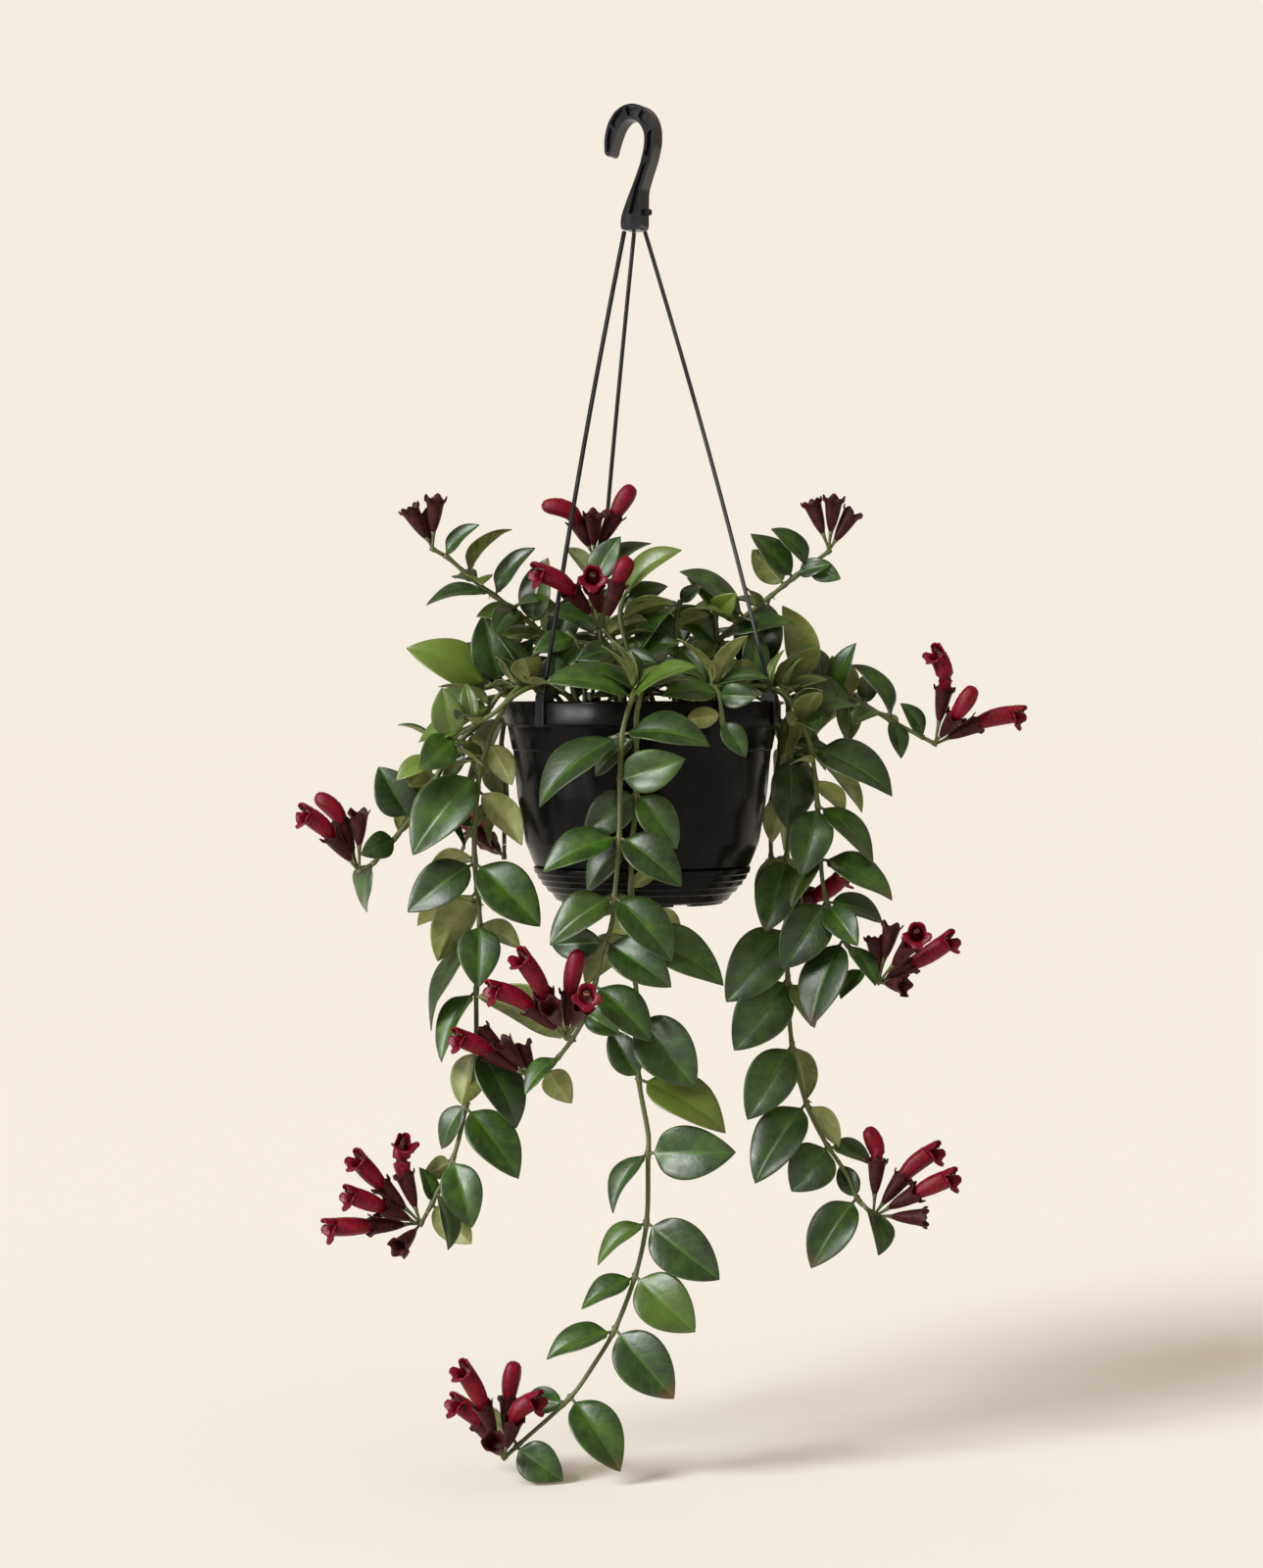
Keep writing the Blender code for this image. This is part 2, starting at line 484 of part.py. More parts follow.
def makePot(material):
    pot = makeObject("pot", turned(potOuter, potInner, potSides), material)
    drains = []
    for step in range(4):
        angle = pi / 4 + step * pi / 2
        centre = Vector((potAxis + drainReach * cos(angle), drainReach * sin(angle), 0))
        route = [centre + Vector((0, 0, height)) for height in (potOuter[-1][1] - 4, floorTop + 1.5)]
        drains.append(tube(route, [drainRadius] * 2, 8))
    combine(pot, drains, "DIFFERENCE")
    return pot


def footSolid(bearing):
    """A low foot of the saucer, as long as its arc."""
    points = []
    for height in (footLow, footTop):
        for reach, leans in ((footInner, (-1, 0, 1)), (footOuter, (1, 0, -1))):
            for lean in leans:
                angle = bearing + lean * footArc / 2
                points.append(Vector((potAxis + reach * cos(angle), reach * sin(angle), height)))
    faces = [tuple(range(6)), tuple(reversed(range(6, 12)))]
    faces += [(step, step + 6, (step + 1) % 6 + 6, (step + 1) % 6) for step in range(6)]
    return points, faces


def makeSaucer(material):
    saucer = makeObject("drip_saucer", turned(saucerOuter, saucerInner, saucerSides), material)
    combine(saucer, [footSolid(pi / 2 + step * footPitch) for step in range(6)])
    return saucer


def makeSoil(material, routes):
    inner = [(radius - 2 * seatGap, height) for radius, height in potInner[::-1] if height < soilTop]
    outer = [(80.4, soilTop)] + inner[:-1] + [(57.5 - seatGap, floorTop + seatGap)]
    points = []
    for radius, height in outer:
        for step in range(potSides):
            angle = 2 * pi * step / potSides
            points.append(Vector((potAxis + radius * cos(angle), radius * sin(angle), height)))
    rows = len(outer)
    faces = [tuple(range(potSides)), tuple(reversed(range((rows - 1) * potSides, rows * potSides)))]
    for row in range(rows - 1):
        for step in range(potSides):
            first = row * potSides + step
            second = row * potSides + (step + 1) % potSides
            faces.append((first + potSides, second + potSides, second, first))
    soil = makeObject("potting_soil", (points, faces), material)
    holes = []
    for route in routes:
        foot = Vector((route[0].x, route[0].y, 0))
        ends = [foot + Vector((0, 0, soilTop - holeDepth)), foot + Vector((0, 0, soilTop + 2))]
        holes.append(tube(ends, [stemRadius + holeSlack] * 2, 5))
    combine(soil, holes, "DIFFERENCE")
    return soil


def potReach(height):
    """How far the pot or saucer reaches from its axis at this height, or 0 above and below it."""
    profile = potOuter[1:9] + saucerOuter
    for (wide, top), (narrow, low) in zip(profile, profile[1:]):
        if low <= height <= top:
            return max(wide, narrow)
    return 0.0


def clearOfPot(point, spare):
    """The same point, moved straight out from the pot's axis if it lies in the pot."""
    reach = Vector((point.x - potAxis, point.y, 0))
    least = potReach(point.z) + spare
    if least > spare and 0 < reach.length < least:
        return point + reach.normalized() * (least - reach.length)
    return point


def backRow(root, bearing, low):
    """Route and leaves of a stem at the back, by rule: over the rim, straight down, leaves in pairs."""
    turn = radians(bearing)

    def around(reach, height, sway=0.0):
        return Vector((potAxis + reach * cos(turn + sway), reach * sin(turn + sway), height))

    route = [Vector((*root, soilTop - holeDepth + 1)), Vector((*root, soilTop + 3)), around(66, -346),
             around(80, -347), around(89, -354), around(backReach - 3, -366), around(backReach, -385)]
    height = -385 - backPitch
    while height > low:
        route.append(around(backReach - 4, height, 0.05 * sin(height / 40)))
        height -= backPitch
    blades = []
    for number, point in enumerate(route[5:]):
        for side in (-1, 1):
            spread = turn + side * (1.25 if number % 2 else 0.75)
            reach = Vector((cos(spread), sin(spread), -1.05 - 0.1 * (number % 3)))
            size = backLeaf * (1.0 - 0.05 * (number % 4))
            blades.append((point, point + reach.normalized() * size, size * bladeProportion,
                           Vector((cos(turn), sin(turn), 0.6))))
    return route, blades


def shootRow(root, bearing, reach, rise):
    """Route and leaves of a short shoot at the back, by rule: up, arching outward, leaves in pairs."""
    turn = radians(bearing)
    outward = Vector((cos(turn), sin(turn), 0))
    foot = Vector((*root, soilTop + 3))
    shares = (0.35, 0.7, 1.0)
    route = [foot - Vector((0, 0, holeDepth + 2)), foot]
    route += [foot + outward * reach * share ** 1.6 + Vector((0, 0, rise * sin(share * 2.2)))
              for share in shares]
    blades = []
    for number, share in enumerate(shares):
        point = route[number + 2]
        for side in (-1, 1):
            spread = turn + side * (0.5 if number == 2 else 1.3) + 0.09
            ahead = Vector((cos(spread), sin(spread), 0.35 - 0.5 * share))
            blades.append((point, point + ahead.normalized() * backLeaf, backLeaf * bladeProportion,
                           Vector((0, 0, 1))))
    return route, blades


def stemRoute(row):
    """A stem's centreline: upright out of the soil, then over the rim and on."""
    across, depth = row["root"]
    route = [Vector((across, depth, soilTop - holeDepth + 1)), Vector((across, depth, soilTop + 3))]
    return route + [sight(*point) for point in row["route"]]


def shortened(route, length):
    """A route without the last of its length, and the part cut off."""
    kept = list(route)
    cut = [kept.pop()]
    left = length
    while (kept[-1] - cut[0]).length < left:
        left -= (kept[-1] - cut[0]).length
        cut.insert(0, kept.pop())
    ahead = (cut[0] - kept[-1]).normalized()
    end = cut[0] - ahead * left
    kept.append(end)
    cut.insert(0, end + ahead * seatGap)
    return kept, cut


def nearest(route, point):
    """The closest point to this one on a route above the soil."""
    best = None
    for start, end in zip(route[1:], route[2:]):
        run = end - start
        share = max(0.0, min(0.97, (point - start).dot(run) / run.length_squared))
        found = start + run * share
        if best is None or (found - point).length < (best - point).length:
            best = found
    return best


def leafRoot(routes, across, height):
    """Where a leaf sighted at (across, height) leaves the nearest of a stem's routes."""
    guess = sight(across, height, routes[0][-1].y)
    found = [nearest(route, sight(across, height, nearest(route, guess).y)) for route in routes]
    return min(found, key=lambda point: (point.x - guess.x) ** 2 + (point.z - guess.z) ** 2)


def leafNormal(root, tip, width, face):
    """The way a blade's upper face looks, so that it appears this wide from the front."""
    along = (tip - root).normalized()
    toward = (eye - root).normalized()
    flat = (toward - along * toward.dot(along)).normalized()
    aside = along.cross(flat)
    full = max(bladeProportion * (tip - root).length, width)
    turn = acos(width / full)
    one = (flat * cos(turn) + aside * sin(turn)) * face
    other = (flat * cos(turn) - aside * sin(turn)) * face
    return (one if one.z > other.z else other), full


def leafSolid(root, tip, width, normal, spare=0.0):
    """A blade on its petiole: share of the length, and half width as a share of the full half width."""
    stations = ((0.0, 0.0), (0.13, 0.05), (0.42, 1.0))
    if width > smallLeaf:
        stations = ((0.0, 0.0), (0.13, 0.05), (0.33, 1.0), (0.66, 0.78))
    run = tip - root
    along = run.normalized()
    normal = (normal - along * normal.dot(along)).normalized()
    aside = along.cross(normal)
    half = bladeThick / 2 + spare
    points = []
    for share, wide in stations:
        centre = root + run * share + normal * run.length * bladeArch * 4 * share * (1 - share)
        if share > 0.3:
            centre = clearOfPot(centre, 2.2)
        edge = 0.75 + wide * (width / 2 - 0.75) + spare
        points += [centre + aside * edge + normal * half, centre + aside * edge - normal * half,
                   centre - aside * edge - normal * half, centre - aside * edge + normal * half]
    points.append(clearOfPot(tip, 2.2) + along * spare)
    return points, ringFaces(len(stations), 4, True)


def flowerSolids(base, mouth, kind, end):
    """A pedicel that widens into a calyx, with a pit or with a corolla standing in it."""
    axis = mouth - base
    length = axis.length
    along = axis.normalized()
    foot = max(0.28, 1 - calyxLength / length)
    body = 1 - foot
    across = along.orthogonal().normalized()
    aside = along.cross(across)
    stations = [(0.0, 1.0), (foot, 1.6), (foot + 0.35 * body, 4.0), (1.0, 6.2)]
    if kind == "empty":
        stations += [(0.99, 5.0), (foot + 0.62 * body, 2.6)]
    points = []
    for share, radius in stations:
        for corner in range(flowerSides):
            angle = 2 * pi * corner / flowerSides
            points.append(base + axis * share + (across * cos(angle) + aside * sin(angle)) * radius)
    solids = [(points, ringFaces(len(stations), flowerSides, False))]
    if kind == "empty":
        return solids
    inside = base + axis * (foot + 0.5 * body)
    bend = mouth + along * (end - mouth).length * 0.45
    curve = [mouth * (1 - s) ** 2 + bend * 2 * s * (1 - s) + end * s * s for s in (0.6, 1.0)]
    radii = [1.9, 3.2, 4.2, 2.0] if kind == "open" else [1.9, 3.2, 4.0, 2.4]
    solids.append(tube([inside, mouth] + curve, radii, flowerSides))
    if kind == "open":
        ahead = (curve[1] - curve[0]).normalized()
        down = (Vector((0, 0, -1)) + ahead * ahead.z).normalized()
        side = ahead.cross(down)
        throat = curve[0] + ahead * 2.0
        for lean in (-1, 0, 1):
            out = (down * (1.0 if lean == 0 else 0.15) + side * lean).normalized()
            reach = throat + out * 6.6 + ahead * 3.4
            solids.append(lobeSolid(throat + out * 1.4, reach, out.cross(ahead)))
    return solids


def lobeSolid(root, tip, aside):
    """A short pointed petal lobe."""
    run = tip - root
    normal = run.normalized().cross(aside)
    points = []
    for share, half in ((0.0, 1.3), (0.55, 2.3)):
        centre = root + run * share
        points += [centre + aside * half + normal * 0.45, centre - aside * half + normal * 0.45,
                   centre - aside * half - normal * 0.45, centre + aside * half - normal * 0.45]
    points.append(tip)
    return points, ringFaces(2, 4, True)


placed = []              # what stands already: (node, is a blade, lowest corner, highest corner, tree)
# Postures that a leaf tries in turn: tip nearer by, blade turned by degrees
shifts = [(0, 0), (8, 0), (-8, 0), (0, 14), (0, -14), (14, 0), (-14, 0), (8, 24), (-8, -24), (20, 0),
          (-20, 0), (28, 0), (-28, 0), (14, 40), (-14, -40), (36, 0), (-36, 0)]


def corners(points):
    return [min(point[axis] for point in points) for axis in range(3)], \
           [max(point[axis] for point in points) for axis in range(3)]


def stand(node, solid, blade=False):
    """Remember a solid, so that later leaves keep clear of it."""
    low, high = corners(solid[0])
    placed.append((node, blade, low, high, BVHTree.FromPolygons(solid[0], solid[1])))


def clashes(node, whole, blade):
    """Whether a leaf meets what other nodes hold, or its blade another blade of its own node."""
    for solid, own in ((whole, False), (blade, True)):
        low, high = corners(solid[0])
        tree = BVHTree.FromPolygons(solid[0], solid[1])
        for other, isBlade, otherLow, otherHigh, otherTree in placed:
            if (other == node) != own or (own and not isBlade):
                continue
            if any(high[axis] < otherLow[axis] or low[axis] > otherHigh[axis] for axis in range(3)):
                continue
            if tree.overlap(otherTree):
                return True
    return False


def bladeOnly(solid):
    """A leaf without the stretch of petiole that is sunk in the stem."""
    points = solid[0][4:]
    return points, ringFaces(len(points) // 4, 4, True)


def placeLeaf(node, root, tip, width, face, normal=None):
    """The leaf in the first posture that keeps clear of the rest, or none."""
    for size in (1.0, 0.82):
        for nearer, turn in shifts:
            end = root + (tip - root) * size - Vector((0, nearer, 0))
            look, full = (normal, width) if normal else leafNormal(root, end, width * size, face)
            along = (end - root).normalized()
            look = (look * cos(radians(turn)) + along.cross(look) * sin(radians(turn)))
            whole = leafSolid(root, end, full, look, bladeClear)
            if not clashes(node, whole, bladeOnly(whole)):
                solid = leafSolid(root, end, full, look)
                stand(node, solid)
                stand(node, bladeOnly(solid), True)
                return solid
    return None


def taper(route):
    last = len(route) - 1
    return [stemRadius + (tipRadius - stemRadius) * index / last for index in range(last + 1)]


def neckSolid(neck):
    """The last of a stem under a bloom, with a knob that the pedicels leave from."""
    base = neck[-1]
    ahead = (base - neck[-2]).normalized()
    route = neck[:-1] + [base - ahead * 1.2, base + ahead * 1.4]
    radii = [tipRadius] * (len(route) - 2) + [tipRadius + 0.7, 1.2]
    return tube(route, radii, stemSides + 1)


def planStems():
    """Every stem's solids but its leaves, and every bloom's solids, keyed by node name."""
    plans = {}
    blooms = {}
    for name, row in stems.items():
        route, neck = stemRoute(row), None
        if "bloom" in row:
            route, neck = shortened(route, neckLength)
            blooms[name.replace("stem", "bloom")] = bloomSolids(neck, row["bloom"])
        routes = [route]
        if "branch" in row:
            branch = [sight(*point) for point in row["branch"]]
            if "branch_bloom" in row:
                branch, neck = shortened(branch, neckLength)
                blooms["bloom_front_shoot"] = bloomSolids(neck, row["branch_bloom"])
            routes.append(branch)
        plans[name] = routes
    return plans, blooms


def bloomSolids(neck, flowers):
    base = neck[-1]
    solids = [neckSolid(neck)]
    for across, height, nearer, kind, endAcross, endHeight in flowers:
        mouth = sight(across, height, base.y - nearer)
        end = sight(endAcross, endHeight, base.y - nearer * 1.3) if kind != "empty" else mouth
        solids += flowerSolids(base, mouth, kind, end)
    return solids


def backBloom(neck):
    """Two flowers that stand out and up from a stem's end at the back."""
    base = neck[-1]
    outward = Vector((base.x - potAxis, base.y, 0)).normalized()
    aside = Vector((-outward.y, outward.x, 0))
    solids = [neckSolid(neck)]
    for lean, rise, kind in ((-0.9, 0.5, "open"), (0.4, 1.0, "bud")):
        way = (outward + aside * lean + Vector((0, 0, rise))).normalized()
        mouth = base + way * 28
        solids += flowerSolids(base, mouth, kind, mouth + way * 22 + Vector((0, 0, 8)))
    return solids


def build():
    for part in list(bpy.data.objects):
        bpy.data.objects.remove(part)
    plastic = makeMaterial("moulded charcoal polypropylene", (0.028, 0.027, 0.03), 0.38)
    peat = makeMaterial("damp peat", (0.03, 0.018, 0.01), 0.95)
    leafGreen = makeMaterial("waxy leaf", (0.055, 0.13, 0.035), 0.35)
    crimson = makeMaterial("velvety bloom", (0.25, 0.012, 0.02), 0.6)

    plans, blooms = planStems()
    for name, row in backStems.items():
        route = backRow(*row)[0]
        if name != "stem_back":
            route, neck = shortened(route, neckLength)
            blooms[name.replace("stem", "bloom")] = backBloom(neck)
        plans[name] = [route]
    for name, row in backShoots.items():
        plans[name] = [shootRow(*row)[0]]
    for side in legTops:
        stand("hanger", tube(legRoute(side), [legRadius] * 6, legSides))
        place = clipPlace(radians(legBearings[side]))
        stand("hanger", slab(clipOutline, -clipWidth / 2, clipWidth / 2, place))
    stand("pot", turned(potOuter, potInner, potSides))
    stand("saucer", turned(saucerOuter, saucerInner, potSides))
    for name, routes in plans.items():
        for route in routes:
            stand(name, tube(route, taper(route), stemSides))
    for name, solids in blooms.items():
        for solid in solids:
            stand(name, solid)

    makeHook(plastic)
    for side in legTops:
        makeLeg(side, plastic)
    makePot(plastic)
    makeSaucer(plastic)
    makeSoil(peat, [routes[0] for routes in plans.values()])

    for name, routes in plans.items():
        leaves = []
        if name not in stems:
            rule, given = (backRow, backStems) if name in backStems else (shootRow, backShoots)
            for root, tip, width, normal in rule(*given[name])[1]:
                leaves.append(placeLeaf(name, root, tip, width, up, normal))
        else:
            for across, height, endAcross, endHeight, width, nearer, face in stems[name]["leaves"]:
                root = leafRoot(routes, across, height)
                tip = sight(endAcross, endHeight, root.y - nearer)
                leaves.append(placeLeaf(name, root, tip, width, face))
        stem = makeObject(name, tube(routes[0], taper(routes[0]), stemSides), leafGreen)
        extra = [tube(route, taper(route), stemSides) for route in routes[1:]]
        combine(stem, extra + [leaf for leaf in leaves if leaf])
    for name, solids in blooms.items():
        combine(makeObject(name, solids[0], crimson), solids[1:])


build()
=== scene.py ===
import random
from math import acos, cos, exp, pi, radians, sin

import bmesh
import bpy
import numpy as np
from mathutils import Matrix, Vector, noise
from mathutils.bvhtree import BVHTree
from mathutils.kdtree import KDTree


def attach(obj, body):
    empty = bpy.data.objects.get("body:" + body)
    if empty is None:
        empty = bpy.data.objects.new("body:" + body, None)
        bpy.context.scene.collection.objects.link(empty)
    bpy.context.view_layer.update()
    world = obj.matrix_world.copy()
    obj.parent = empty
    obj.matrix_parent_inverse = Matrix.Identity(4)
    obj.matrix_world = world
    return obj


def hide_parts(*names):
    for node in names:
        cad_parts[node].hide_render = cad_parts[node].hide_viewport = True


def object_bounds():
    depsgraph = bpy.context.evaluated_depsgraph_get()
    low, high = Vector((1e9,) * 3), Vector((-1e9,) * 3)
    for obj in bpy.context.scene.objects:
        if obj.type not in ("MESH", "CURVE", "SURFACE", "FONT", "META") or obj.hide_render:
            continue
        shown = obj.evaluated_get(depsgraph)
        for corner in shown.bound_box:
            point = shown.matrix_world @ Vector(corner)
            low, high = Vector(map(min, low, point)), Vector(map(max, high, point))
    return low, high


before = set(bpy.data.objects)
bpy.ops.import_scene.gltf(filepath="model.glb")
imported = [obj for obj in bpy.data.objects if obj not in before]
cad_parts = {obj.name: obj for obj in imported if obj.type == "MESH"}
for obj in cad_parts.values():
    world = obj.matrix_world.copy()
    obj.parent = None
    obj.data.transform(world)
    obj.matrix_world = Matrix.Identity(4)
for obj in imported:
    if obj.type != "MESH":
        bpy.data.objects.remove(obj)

# A lipstick plant in its hanging pot. Sizes and places are in millimetres and become metres in the meshes.
mm = 0.001
cadBox = [list(corner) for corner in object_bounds()]
eye = Vector((-2.0, -2150.0, -346.0))   # where the plant is looked at from
potAxis = 4.5


# Camera, floor and light

studio = {
    "cream": "#f5ede0",
    "paper": "#f5f3ee",
    "floorHeight": -817.6,
    "floorReach": 30000.0,
    "filmWidth": 36.0,
    "frameWidth": 773.4,   # how much of the plant's plane fits across the picture
    "frameCentre": -406.5,
    "viewReach": 40000.0,  # nothing farther off is drawn
    "skyPower": 0.36,
    "skyTint": "#ffebd5",
    "skyRise": (0.75, 1.45),   # the sky's brightness low down and overhead
    "sunTurn": 50,         # degrees to the left of straight behind the camera
    "sunHeight": 35,
    "sunSoft": 26,
    "sunPower": 3.28,
    "sunColour": (0.97, 0.988, 1.0),
    "softboxPower": 32.0,
    "softboxSize": (1100.0, 300.0),
    "softboxPlace": (-1600.0, -1040.0, -340.0),
    "softboxAim": (0.0, 0.0, -360.0),
}


def linear(hexColour):
    # sRGB hex to the linear colour that shaders take
    parts = [int(hexColour[i:i + 2], 16) / 255 for i in (1, 3, 5)]
    return tuple(p / 12.92 if p <= 0.04045 else ((p + 0.055) / 1.055) ** 2.4 for p in parts) + (1.0,)


def addNode(tree, kind, inputs=None, **settings):
    # one node with its settings, and its inputs given as values or as sockets to link from
    node = tree.nodes.new(kind)
    for name, value in settings.items():
        setattr(node, name, value)
    for name, value in (inputs or {}).items():
        if isinstance(value, bpy.types.NodeSocket):
            tree.links.new(value, node.inputs[name])
        else:
            node.inputs[name].default_value = value
    return node


def setCamera():
    # a level camera, whose picture is shifted down to take in the whole plant
    lens = bpy.data.cameras.new("camera")
    camera = bpy.data.objects.new("camera", lens)
    bpy.context.scene.collection.objects.link(camera)
    camera.location = eye * mm
    camera.rotation_euler = (radians(90), 0, 0)
    lens.sensor_fit = "HORIZONTAL"
    lens.sensor_width = studio["filmWidth"]
    lens.lens = studio["filmWidth"] * -eye.y / studio["frameWidth"]
    lens.shift_y = (studio["frameCentre"] - eye.z) / studio["frameWidth"]
    lens.clip_end = studio["viewReach"] * mm
    bpy.context.scene.camera = camera


def layFloor():
    # matt cream paper, rolled out flat: no gloss, only the plant's soft shadow
    reach = studio["floorReach"] * mm
    height = studio["floorHeight"] * mm
    mesh = bpy.data.meshes.new("floor")
    mesh.from_pydata([(-reach, -reach, height), (reach, -reach, height), (reach, reach, height),
                      (-reach, reach, height)], [], [(0, 1, 2, 3)])
    floor = bpy.data.objects.new("floor", mesh)
    bpy.context.scene.collection.objects.link(floor)
    paper = bpy.data.materials.new("cream paper sweep")
    paper.use_nodes = True
    shader = paper.node_tree.nodes["Principled BSDF"]
    shader.inputs["Base Color"].default_value = linear(studio["paper"])
    shader.inputs["Roughness"].default_value = 0.9
    shader.inputs["Specular IOR Level"].default_value = 0.1
    mesh.materials.append(paper)


def makeSky():
    # the camera sees plain cream behind the floor, and the plant is lit by a sky that is brighter above
    world = bpy.data.worlds.new("studio")
    world.use_nodes = True
    tree = world.node_tree
    tree.nodes.clear()
    low, high = studio["skyRise"]
    place = addNode(tree, "ShaderNodeTexCoord")
    split = addNode(tree, "ShaderNodeSeparateXYZ", {"Vector": place.outputs["Generated"]})
    rise = addNode(tree, "ShaderNodeMapRange", {"Value": split.outputs["Z"], "From Min": -0.2,
                                                "From Max": 1.0, "To Min": low, "To Max": high})
    tint = addNode(tree, "ShaderNodeMix", {0: 1.0, 6: linear(studio["skyTint"]), 7: rise.outputs["Result"]},
                   data_type="RGBA", blend_type="MULTIPLY")
    sky = addNode(tree, "ShaderNodeBackground", {"Color": tint.outputs[2], "Strength": studio["skyPower"]})
    plain = addNode(tree, "ShaderNodeBackground", {"Color": linear(studio["cream"]), "Strength": 1.0})
    path = addNode(tree, "ShaderNodeLightPath")
    both = addNode(tree, "ShaderNodeMixShader", {0: path.outputs["Is Camera Ray"], 1: sky.outputs[0],
                                                 2: plain.outputs[0]})
    addNode(tree, "ShaderNodeOutputWorld", {"Surface": both.outputs[0]})
    bpy.context.scene.world = world


def hangLights():
    sun = bpy.data.lights.new("window", "SUN")
    sun.energy = studio["sunPower"]
    sun.angle = radians(studio["sunSoft"])
    sun.color = studio["sunColour"]
    window = bpy.data.objects.new("window", sun)
    turn, tall = radians(studio["sunTurn"]), radians(studio["sunHeight"])
    toward = Vector((-sin(turn) * cos(tall), -cos(turn) * cos(tall), sin(tall)))
    window.rotation_euler = toward.to_track_quat("Z", "Y").to_euler()
    bpy.context.scene.collection.objects.link(window)

    # a softbox at the left is seen only in gloss: the streaks on the plastic and the sheen on the leaves
    box = bpy.data.lights.new("softbox", "AREA")
    box.shape = "RECTANGLE"
    box.size, box.size_y = (length * mm for length in studio["softboxSize"])
    box.energy = studio["softboxPower"]
    softbox = bpy.data.objects.new("softbox", box)
    place = Vector(studio["softboxPlace"]) * mm
    softbox.location = place
    softbox.rotation_euler = (place - Vector(studio["softboxAim"]) * mm).to_track_quat("Z", "Y").to_euler()
    softbox.visible_diffuse = False
    bpy.context.scene.collection.objects.link(softbox)


bpy.context.scene.view_settings.view_transform = "Standard"
setCamera()
layFloor()
makeSky()
hangLights()
print("studio set")


# Materials. The sizes of their patterns are in millimetres, the depths of their reliefs too.

def perMm(size):
    # the scale that gives a pattern this size
    return 1000.0 / size


def startMaterial(name):
    # a new material, with its tree, its shader and the place on the piece
    material = bpy.data.materials.new(name)
    material.use_nodes = True
    tree = material.node_tree
    shader = tree.nodes["Principled BSDF"]
    place = addNode(tree, "ShaderNodeTexCoord").outputs["Object"]
    return material, tree, shader, place


def setStops(ramp, stops):
    # colour stops as (position, hex)
    cells = ramp.color_ramp.elements
    while len(cells) < len(stops):
        cells.new(0.5)
    for cell, (position, colour) in zip(cells, stops):
        cell.position = position
        cell.color = linear(colour)


polypropylene = {
    "pot": {"tones": ("#08080a", "#0e0e10", "#1b1b1e"), "gloss": 0.09, "relief": 0.12},
    "hanger": {"tones": ("#16171a", "#222328", "#313238"), "gloss": 0.28, "relief": 0.03},
    "stops": (0.36, 0.55, 0.78),
    "roughness": (0.16, 0.3),
    "ior": 1.49,
    "streak": 9.0,
    "stretch": 0.16,       # the streaks' scale down the part, as a share of that across it
    "dust": 22.0,
    "grain": 0.7,          # about 0.15 mm on the real pot, and drawn coarser so that it shows
    "grainDepth": 0.2,
}


def mouldedPolypropylene(name, part):
    # injection-moulded polypropylene: a satin skin with long soft flow streaks and a fine spark grain
    look = polypropylene
    own = look[part]
    material, tree, shader, place = startMaterial(name)
    stretched = addNode(tree, "ShaderNodeMapping", {"Vector": place, "Scale": (1.0, 1.0, look["stretch"])})
    streak = addNode(tree, "ShaderNodeTexNoise", {"Vector": stretched.outputs[0],
                                                  "Scale": perMm(look["streak"]), "Detail": 4.0})
    dust = addNode(tree, "ShaderNodeTexNoise", {"Vector": place, "Scale": perMm(look["dust"]), "Detail": 5.0,
                                                "Roughness": 0.65})
    tone = addNode(tree, "ShaderNodeValToRGB", {"Fac": dust.outputs["Fac"]})
    setStops(tone, list(zip(look["stops"], own["tones"])))
    tree.links.new(tone.outputs["Color"], shader.inputs["Base Color"])
    low, high = look["roughness"]
    rough = addNode(tree, "ShaderNodeMapRange", {"Value": streak.outputs["Fac"], "From Min": 0.3,
                                                 "From Max": 0.7, "To Min": low, "To Max": high})
    tree.links.new(rough.outputs["Result"], shader.inputs["Roughness"])
    grain = addNode(tree, "ShaderNodeTexNoise", {"Vector": place, "Scale": perMm(look["grain"]),
                                                 "Detail": 2.0})
    bump = addNode(tree, "ShaderNodeBump", {"Height": grain.outputs["Fac"], "Strength": own["relief"],
                                            "Distance": look["grainDepth"] * mm})
    tree.links.new(bump.outputs["Normal"], shader.inputs["Normal"])
    shader.inputs["IOR"].default_value = look["ior"]
    shader.inputs["Specular IOR Level"].default_value = own["gloss"]
    return material


peatLook = {
    "wet": "#140d09",
    "brown": "#2c1d12",
    "fibre": "#5a4128",
    "crumb": 2.2,
    "clod": 6.0,
    "crumbDepth": 1.2,
    "roughness": 0.94,
}


def dampPeat():
    # damp peat with bark fibre: matt dark crumbs, and a few paler threads
    look = peatLook
    material, tree, shader, place = startMaterial("damp peat")
    crumb = addNode(tree, "ShaderNodeTexVoronoi", {"Vector": place, "Scale": perMm(look["crumb"])})
    clod = addNode(tree, "ShaderNodeTexNoise", {"Vector": place, "Scale": perMm(look["clod"]), "Detail": 6.0})
    tone = addNode(tree, "ShaderNodeValToRGB", {"Fac": clod.outputs["Fac"]})
    setStops(tone, [(0.35, look["wet"]), (0.6, look["brown"]), (0.82, look["fibre"])])
    tree.links.new(tone.outputs["Color"], shader.inputs["Base Color"])
    bump = addNode(tree, "ShaderNodeBump", {"Height": crumb.outputs["Distance"], "Strength": 0.7,
                                            "Distance": look["crumbDepth"] * mm})
    tree.links.new(bump.outputs["Normal"], shader.inputs["Normal"])
    shader.inputs["Roughness"].default_value = look["roughness"]
    return material


